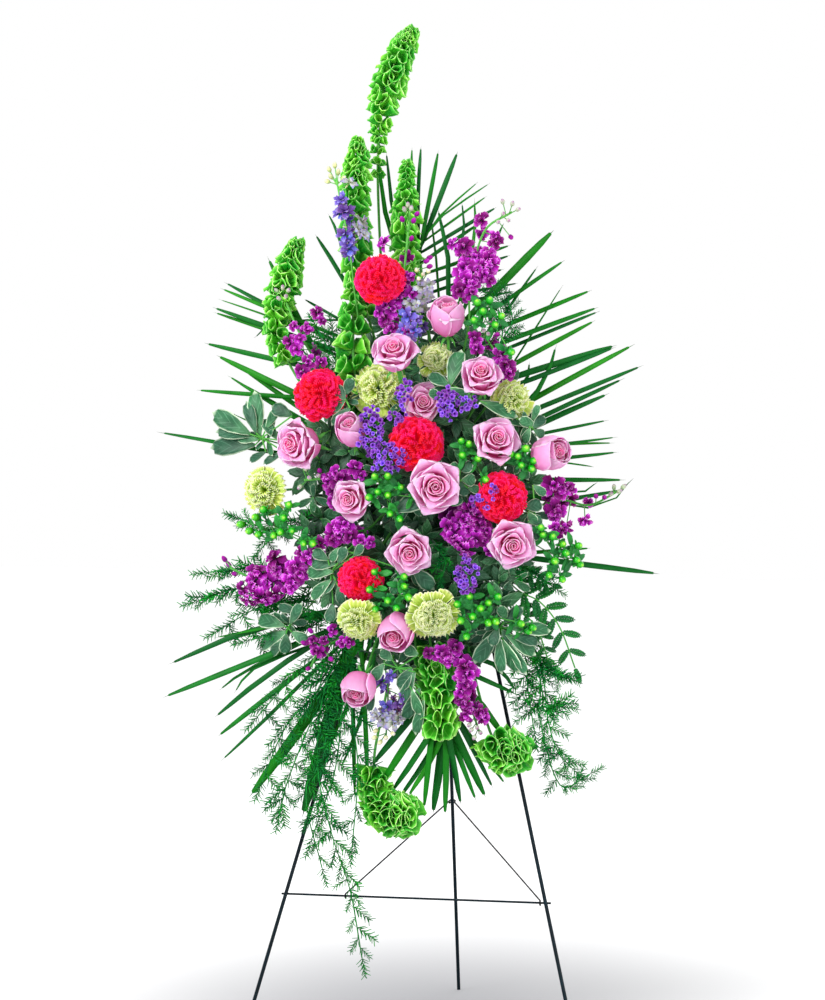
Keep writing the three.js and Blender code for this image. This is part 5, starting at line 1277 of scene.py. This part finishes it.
# Leaves between the blooms: sprigs on the dome, behind the flowers, closing the view of the foam
filler = {"middle": (418, 494), "across": 112, "down": 184, "count": 184, "behind": (34, 84), "deeper": 30}
fillerKinds = {
    "dark": {"shape": darkShape, "length": (38, 56), "parts": [], "lines": []},
    "pale": {"shape": broadLeaf, "length": (34, 46), "parts": [], "lines": []},
}
keepClear = [  # the leaves stay behind the spikes
    place for spike in [*bells.values(), *sum(stocks.values(), []), *sum(larkspurs.values(), [])]
    for place in smoothLine([Vector(place) for place in spike["places"]], 8)
]
for k in range(filler["count"]):
    r = math.sqrt((k + 0.5) / filler["count"])
    a = k * goldenAngle
    across = filler["middle"][0] + filler["across"] * r * math.cos(a)
    down = filler["middle"][1] + filler["down"] * r * math.sin(a)
    out = domeOut(across, down) - chance.uniform(*filler["behind"]) - (filler["deeper"] if k % 3 == 0 else 0)
    for p in keepClear:
        if (p.x - across) ** 2 + (p.y - down) ** 2 < 26 ** 2:
            out = min(out, p.z - 34)
    tip = spot(across, down, out)
    axis = (tip - focus + Vector([chance.uniform(-80, 80) for _ in range(3)])).normalized()
    sprig = fillerKinds["pale" if k % 4 == 1 else "dark"]
    sprig["lines"].append(stemThrough([tip.lerp(focus, 0.1), tip], "filler"))
    sprig["parts"].extend(rosette(tip, axis, 6, chance.uniform(*sprig["length"]), sprig["shape"]))
for kind, piece, slotName in (("dark", "lemon_leaf", "leatherleaf"), ("pale", "pittosporum", "pittosporum")):
    sprig = fillerKinds[kind]
    gather(piece + "_filler", [*sprig["parts"], stalks(sprig["lines"], stems["filler"][1])], [])
print("pittosporum and filler leaves")


# Palms: folded blades that leave a rib, each (across, down nearer its foot, across, down at its tip, width)
bladeRows = [
    (0, 0.3, 0), (0.12, 0.4, 0), (0.4, 0.5, 0), (0.7, 0.48, 0), (0.86, 0.38, 0), (0.96, 0.2, 0), (1, 0.04, 0),
]
bladeShape = leafShape("palmBlade", bladeRows, 0.0015, 2)
palms = {
    "palm_fans_right": [
        {"rib": [(455, 480, 20), (470, 430, 20), (476, 380, 18), (468, 335, 12), (462, 310, 8)], "out": 0,
         "blades": [(489, 297, 554, 230, 8.5), (493, 310, 565, 260, 4.5), (504, 315, 538, 266, 3),
             (500, 328, 592, 290, 5), (518, 356, 563, 285, 2), (494, 346, 599, 307, 5), (507, 349, 600, 311, 4),
             (516, 363, 596, 320, 5), (537, 392, 557, 344, 5), (521, 389, 530, 361, 4), (505, 380, 617, 345, 6.5),
             (509, 388, 616, 347, 5), (532, 400, 635, 344, 6), (541, 407, 644, 365, 5), (542, 417, 625, 378, 5),
             (542, 423, 610, 393, 6), (541, 434, 609, 420, 3.5), (571, 443, 618, 437, 3), (571, 444, 615, 443, 3),
             (575, 457, 619, 452, 4), (574, 464, 594, 467, 2), (539, 480, 626, 480, 5), (548, 500, 624, 490, 5),
             (570, 493, 598, 482, 2.5), (590, 508, 634, 478, 2)]},
        {"rib": [(440, 380, 20), (428, 330, 12), (422, 280, 6), (419, 245, 0)], "out": -12,
         "blades": [(411, 200, 412, 147, 3.5), (418, 200, 421, 146, 4), (423, 233, 438.5, 150, 4.5),
             (424, 239, 458, 151, 5.5), (440, 216, 478, 182, 2), (440, 218, 490, 183, 2),
             (421, 245, 487, 196, 2.5), (421, 252, 497, 207, 4), (423, 262, 480, 223, 4),
             (463, 239, 461.5, 199, 3.5), (473, 248, 474.5, 198, 4), (450, 281, 437.6, 207, 5),
             (439, 290, 430, 208, 2.5), (425, 275, 511, 245, 4), (428, 284, 511, 255, 4), (433, 292, 504, 269, 4),
             (496, 240, 504, 223, 4), (450, 296, 519, 283, 3), (460, 303, 515, 291, 3), (397, 235, 386, 150, 4),
             (391, 237, 378, 160, 5)]},
        {"rib": [(455, 560, 30), (475, 553, 25), (490, 550, 20)], "out": 5,
         "blades": [(545, 560, 660, 574, 6), (540, 552, 592, 548, 4)]},
    ],
    "palm_fans_left": [
        {"rib": [(372, 470, 20), (352, 430, 18), (345, 390, 14), (350, 350, 10), (356, 320, 6)], "out": 0,
         "blades": [(278, 278, 267, 256, 7), (268, 306, 224, 282, 4.5), (268, 308, 220, 288, 4),
             (265, 315, 218, 299, 2), (282, 332, 212, 307, 5), (282, 335, 213, 312, 4), (280, 322, 254, 338, 2.5),
             (295, 364, 204, 343, 5.5), (288, 390, 216, 355, 6.5), (291, 402, 235, 363, 5),
             (276, 406, 227, 375, 4), (275, 396, 196, 390, 4.5), (276, 404, 235, 380, 4),
             (214, 442, 157, 432, 4.5), (246, 420, 235, 414, 2), (347, 286, 315, 234, 4.5),
             (341, 244, 328, 213, 3.5), (337, 318, 304, 299, 3)]},
    ],
    "palm_fans_low": [
        {"rib": [(385, 600, 40), (352, 620, 42), (330, 640, 45), (325, 655, 48)], "out": 45,
         "blades": [(260, 627, 167, 665, 6), (270, 627, 214, 638, 3), (274, 653, 162, 698, 6),
             (253, 667, 218, 691, 3.5), (257, 667, 234, 693, 3), (274, 670, 214, 718, 5.5),
             (301, 671, 217, 737, 5.5), (274, 711, 219, 763, 4), (322, 698, 248, 799, 11),
             (339, 689, 302, 818, 14), (353, 710, 355, 801, 4.5), (365, 710, 368, 790, 5), (350, 700, 322, 760, 4),
             (362, 714, 340, 770, 4)]},
        {"rib": [(415, 640, 55), (432, 680, 60), (437, 697, 62)], "out": 60,
         "blades": [(419, 709, 372, 765, 7), (422, 721, 381, 784, 8), (428, 738, 391, 793, 6.5),
             (437, 741, 397, 802, 5.5), (441, 741, 408, 797, 6), (429, 761, 424, 809, 6), (443, 741, 433, 814, 9),
             (446, 741, 445, 816, 6.5), (450, 741, 461, 805, 6.5), (451, 735, 477, 803, 6),
             (455, 732, 486, 798, 8), (460, 724, 494, 790, 5.5), (463, 726, 506, 785, 4.5),
             (470, 692, 507, 740, 8), (478, 677, 516, 694, 5), (490, 662, 517, 692, 5)]},
    ],
}


def footOnRib(rib, near, tip):  # where a blade's line, run on past its foot, comes nearest the rib
    backwards = (near - tip).normalized()

    def miss(at):
        reach = (at - near).dot(backwards)
        return (at - near - backwards * reach).length + (200 if reach < 0 else 0)

    return min(range(len(rib)), key=lambda i: miss(rib[i]))


def bladeAlong(line, wide, face, tint):  # the blade's rows set along a line
    lengths = [0.0]
    for a, b in zip(line, line[1:]):
        lengths.append(lengths[-1] + (b - a).length)
    co = bladeShape["co"]
    moved = np.empty_like(co)
    for i, (x, y, z) in enumerate(co):
        reach = min(max(y, 0.0), 1.0) * lengths[-1]
        k = max(1, next((j for j, length in enumerate(lengths) if length >= reach), len(lengths) - 1))
        part = (reach - lengths[k - 1]) / max(lengths[k] - lengths[k - 1], 1e-6)
        at = line[k - 1].lerp(line[k], min(part, 1.0))
        along = (line[k] - line[k - 1]).normalized()
        side = along.cross(face).normalized()
        out = side.cross(along)
        lift = abs(x) * wide * 0.35
        moved[i] = at + side * x * wide + out * (z * 400 + lift)
    return {**bladeShape, "co": moved, "tint": np.full(len(co), tint)}


def palmFan(palm):
    flat = smoothLine([Vector((across, down, 0)) for across, down, out in palm["rib"]], 8)
    deep = smoothLine(spots(palm["rib"]), 8)
    shapes = [stalks([stemThrough(spots(palm["rib"]), "palm")], stems["palm"][1])]
    for k, (nearX, nearY, tipX, tipY, wide) in enumerate(palm["blades"]):
        start = deep[footOnRib(flat, Vector((nearX, nearY, 0)), Vector((tipX, tipY, 0)))]
        middle = spot(nearX, nearY, palm["out"] + 10 + 7 * (k % 3))
        end = spot(tipX, tipY, palm["out"] + chance.uniform(-14, 14))
        line = smoothLine([start, middle, end] if (middle - start).length > 8 else [start, end], 8)
        face = Vector((chance.uniform(-0.25, 0.25), -1, chance.uniform(-0.1, 0.35)))
        shapes.append(bladeAlong(line, wide * picture["scale"], face, chance.random()))
    return shapes


gatherGroups(palms, palmFan, "_blades")
print("palms")


# Asparagus fern
needle = takeShape(needleShape(), "asparagusNeedle", tall=True)


def asparagusSprig():  # along +Y, one long, needles in threes
    parts = [placed(needle, standing(origin, ahead, 0, (0.026, 0.026, 1.0)))]
    for k in range(9):
        t = 0.04 + 0.92 * k / 9
        for j in range(3):
            a = k * 1.1 + j * 2.094 + chance.uniform(-0.5, 0.5)
            way = Vector((math.cos(a), chance.uniform(0.5, 1.2), 0.7 * math.sin(a))).normalized()
            size = 0.37 * (1 - 0.25 * t) * chance.uniform(0.7, 1.2)
            parts.append(placed(needle, standing(ahead * t, way, 0, (0.056, 0.056, size)), chance.random()))
    return joined(parts)


sprigs = [asparagusSprig() for _ in range(4)]
# Each trail: its places, the share of it where the sprigs begin, how many, and their sizes from first to last
trails = {
    "asparagus_trail": [
        ([(345, 640, 60), (322, 700, 80), (318, 770, 86), (332, 835, 88), (350, 890, 86), (362, 958, 84)], 0.16, 34,
         (50, 32)),
        ([(350, 640, 50), (318, 690, 75), (285, 728, 82), (262, 782, 84)], 0.2, 20, (46, 36)),
        ([(345, 650, 50), (312, 720, 80), (288, 780, 86), (280, 812, 86)], 0.3, 17, (44, 36)),
        ([(352, 650, 55), (342, 710, 82), (335, 770, 88), (312, 838, 90)], 0.25, 18, (46, 36)),
        ([(355, 650, 55), (352, 710, 80), (358, 770, 86), (352, 848, 86)], 0.3, 16, (40, 32)),
        ([(330, 640, 50), (290, 680, 70), (258, 716, 78)], 0.3, 12, (46, 34)),
        ([(350, 660, 50), (322, 730, 78), (306, 796, 84), (322, 868, 84)], 0.3, 16, (42, 32)),
    ],
    "asparagus_sides": [
        ([(300, 600, 40), (245, 588, 52), (200, 600, 50)], 0.2, 18, (52, 36)),
        ([(300, 580, 40), (255, 568, 50), (210, 572, 50)], 0.3, 14, (48, 34)),
        ([(300, 600, 40), (262, 606, 50), (222, 628, 50)], 0.2, 14, (46, 36)),
        ([(320, 620, 45), (296, 628, 60), (250, 640, 58)], 0.2, 14, (44, 34)),
        ([(340, 620, 50), (318, 612, 70), (288, 604, 66)], 0.1, 10, (40, 34)),
        ([(530, 640, 45), (545, 668, 70), (562, 676, 75)], 0.3, 17, (42, 32)),
        ([(520, 640, 45), (528, 690, 70), (534, 730, 78)], 0.25, 15, (44, 34)),
        ([(530, 650, 45), (545, 700, 70), (560, 706, 78)], 0.3, 13, (42, 32)),
        ([(535, 650, 40), (548, 720, 70), (558, 752, 75), (572, 768, 75)], 0.4, 13, (38, 28)),
        ([(535, 660, 45), (540, 720, 72), (560, 785, 76), (590, 774, 76)], 0.55, 11, (34, 26)),
        ([(360, 400, 50), (338, 365, 70), (318, 330, 70)], 0.25, 14, (40, 32)),
        ([(350, 400, 50), (325, 372, 64), (300, 348, 64)], 0.25, 12, (38, 30)),
        ([(350, 380, 50), (336, 350, 60), (332, 330, 60)], 0.2, 9, (36, 28)),
        ([(320, 520, 45), (275, 530, 60), (238, 518, 55)], 0.3, 13, (42, 28)),
        ([(320, 530, 45), (290, 520, 60), (262, 548, 55)], 0.3, 10, (40, 28)),
        ([(500, 345, 45), (500, 305, 55), (488, 285, 50)], 0.3, 10, (34, 26)),
        ([(500, 345, 45), (512, 322, 50), (508, 300, 50)], 0.3, 9, (32, 24)),
        ([(500, 560, 60), (525, 568, 80), (552, 586, 78)], 0.15, 14, (40, 28)),
        ([(430, 540, 100), (445, 560, 140), (440, 582, 140)], 0.2, 10, (34, 26)),
        ([(380, 560, 90), (372, 600, 125), (384, 650, 120)], 0.3, 10, (34, 26)),
    ],
}


def fernTrail(trail):
    places, begin, count, (first, last) = trail
    whole = stemThrough(spots(places), "asparagus")
    line = whole[1:]
    shapes = [stalks([whole], stems["asparagus"][1], "asparagusNeedle")]
    for k in range(count):
        share = k / count
        at, along = onLine(line, begin + (1 - begin) * share)
        side = lookAcross * (1 if k % 2 else -1)
        drift = Vector((0, chance.uniform(-0.7, 0.4), chance.uniform(-0.4, 0.25)))
        way = (along * 0.7 + side * chance.uniform(0.2, 1.2) + drift).normalized()
        size = (first + (last - first) * share) * chance.uniform(0.75, 1.15)
        face = Vector((chance.uniform(-0.5, 0.5), -1, chance.uniform(-0.2, 0.6)))
        shapes.append(placed(chance.choice(sprigs), lying(at, way, face, [size] * 3), chance.random(), bow=0.1))
    at, along = onLine(line, 1)
    return [*shapes, placed(sprigs[0], lying(at, along, Vector((0, -1, 0.2)), [last] * 3), 0.5)]


gatherGroups(trails, fernTrail, "_ferns")
print("asparagus fern")


# Leatherleaf
leafletRows = [(0, 0.16, 0), (0.4, 0.27, 0.02), (0.75, 0.19, 0.01), (1, 0.02, -0.03)]
leafletShape = leafShape("leatherleafLeaflet", leafletRows, 0.03, 2, fold=0.1)


def fernPinna():  # along +Y, one long, with paired leaflets
    parts = [placed(needle, standing(origin, ahead, 0, (0.03, 0.03, 1.0)))]
    for k in range(8):
        t = 0.06 + 0.92 * k / 8
        for side in (-1, 1):
            way = Vector((side, 0.8, chance.uniform(-0.2, 0.2))).normalized()
            size = 0.26 * math.sin(0.6 + 2.3 * t) + 0.03
            parts.append(placed(leafletShape, lying(ahead * t, way, up, [size] * 3), chance.random()))
    return joined([*parts, placed(leafletShape, lying(ahead * 0.94, ahead, up, [0.12] * 3), 0.5)])


pinna = fernPinna()
# Each frond: its places, the share of it where the pinnae begin, how many pairs, and their sizes from first to last
fronds = [
    ([(512, 585, 55), (540, 602, 68), (560, 628, 72), (575, 668, 72)], 0.12, 8, (42, 26)),
    ([(502, 562, 55), (530, 575, 66), (552, 584, 68)], 0.2, 7, (32, 18)),
    ([(508, 600, 55), (535, 625, 66), (548, 660, 68)], 0.3, 6, (32, 18)),
]
face = Vector((0, -1, 0.3))
shapes = []
for places, begin, pairs, (first, last) in fronds:
    whole = stemThrough(spots(places), "leatherleaf")
    line = whole[1:]
    shapes.append(stalks([whole], stems["leatherleaf"][1]))
    for k in range(pairs):
        share = k / pairs
        at, along = onLine(line, begin + (1 - begin) * share)
        flat = along.cross(Vector((0, -1, 0.2))).normalized()
        for side in (-1, 1):
            way = (flat * side + along * 0.7).normalized()
            turned = lying(at, way, face, [first + (last - first) * share] * 3)
            shapes.append(placed(pinna, turned, chance.random(), bow=0.12))
    at, along = onLine(line, 1)
    shapes.append(placed(pinna, lying(at, along, face, [last] * 3), 0.5))
gather("leatherleaf_fronds", shapes, ["leatherleaf"])
print("leatherleaf")


# Easel, foam and cage keep their CAD shapes and get their finishes.
# pattern: scale and detail of the noise under the colours. bump: its strength, and its depth in metres.
finishes = {
    # Mild steel wire dipped in dark green enamel: smooth, a soft gloss, small runs and chips.
    "enamelledSteelWire": {
        "shader": {"Roughness": 0.35, "Specular IOR Level": 0.1}, "rough": (0.25, 0.45), "pattern": (55.0, 4.0),
        "colours": [(0.3, "#020E14"), (0.6, "#04161E"), (0.8, "#0A242E")], "bump": (0.2, 0.0004),
        "nodes": ["easel_left_leg", "easel_right_leg", "easel_rear_leg", "easel_pivot_pin", "easel_crossbar"],
    },
    # Thinner hard-drawn steel wire, blackened.
    "blackenedSteelWire": {
        "shader": {"Roughness": 0.45, "Specular IOR Level": 0.1}, "pattern": (140.0, 3.0),
        "colours": [(0.3, "#080B10"), (0.7, "#12161C")], "bump": (0.2, 0.0003),
        "nodes": ["easel_left_brace", "easel_right_brace"],
    },
    # Phenolic foam, soaked: fine open cells, darker where it is wettest.
    "soakedFlowerFoam": {
        "shader": {"Roughness": 0.9, "Specular IOR Level": 0.2}, "pattern": (14.0, 3.0), "cells": 420.0,
        "colours": [(0.3, "#173F26"), (0.7, "#24633A")], "bump": (0.6, 0.0008), "nodes": ["foam_block"],
    },
    # Polypropylene, moulded: a fine spark-eroded texture.
    "mouldedPolypropylene": {
        "shader": {"Roughness": 0.5, "Specular IOR Level": 0.4}, "pattern": (900.0, 2.0),
        "colours": [(0.3, "#183F27"), (0.7, "#1F4F31")], "bump": (0.3, 0.0002), "nodes": ["foam_cage"],
    },
}
for name, look in finishes.items():
    material, tree, shader = newSurface(name, look["shader"])
    pattern = height = noise(tree, *look["pattern"])
    tree.links.new(ramped(tree, pattern, look["colours"]), shader.inputs["Base Color"])
    if "rough" in look:
        tree.links.new(ranged(tree, pattern, 0.0, 1.0, *look["rough"]), shader.inputs["Roughness"])
    if "cells" in look:
        place = addNode(tree, "ShaderNodeTexCoord").outputs["Object"]
        height = addNode(tree, "ShaderNodeTexVoronoi", links={"Vector": place, "Scale": look["cells"]}).outputs[0]
    bumped(tree, shader, *look["bump"], height)
    for node in look["nodes"]:
        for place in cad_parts[node].material_slots:
            place.material = material


def paperFloor():  # matt white seamless paper, with a soft painted shadow pooled under the easel
    material, tree, shader = newSurface("seamlessPaper", {
        "Roughness": 0.9, "Specular IOR Level": 0.1, "Emission Color": (1, 1, 1, 1), "Emission Strength": 0.12,
    })
    paper = ramped(tree, noise(tree, 400.0, 2.0), [(0.3, "#F6F6F6"), (0.7, "#FBFBFB")])
    place = addNode(tree, "ShaderNodeTexCoord").outputs["Object"]
    # painted shadow: a grey pool blended into the paper round the easel's feet
    paintedShadowPool = addNode(tree, "ShaderNodeMapping", links={0: place, "Scale": (0.95, 0.5, 1.0)})
    paintedShadowPool = addNode(tree, "ShaderNodeTexGradient", {"gradient_type": "SPHERICAL"}, {0: paintedShadowPool.outputs[0]})
    amount = ranged(tree, paintedShadowPool.outputs[1], 0.0, 1.0, 0.0, 1.0, "SMOOTHSTEP")
    tree.links.new(blended(tree, amount, paper, linear("#8E8E92")), shader.inputs["Base Color"])
    return material


deselectAll()
bpy.ops.mesh.primitive_grid_add(x_subdivisions=4, y_subdivisions=4, size=60)
floor = bpy.context.object
floor.name = "studio_floor"
onWhole(bpy.ops.mesh.extrude_region_move, TRANSFORM_OT_translate={"value": (0, 0, -0.02)})
onWhole(bpy.ops.mesh.normals_make_consistent, inside=False)
floor.data.materials.append(paperFloor())
print("easel, holder and floor")
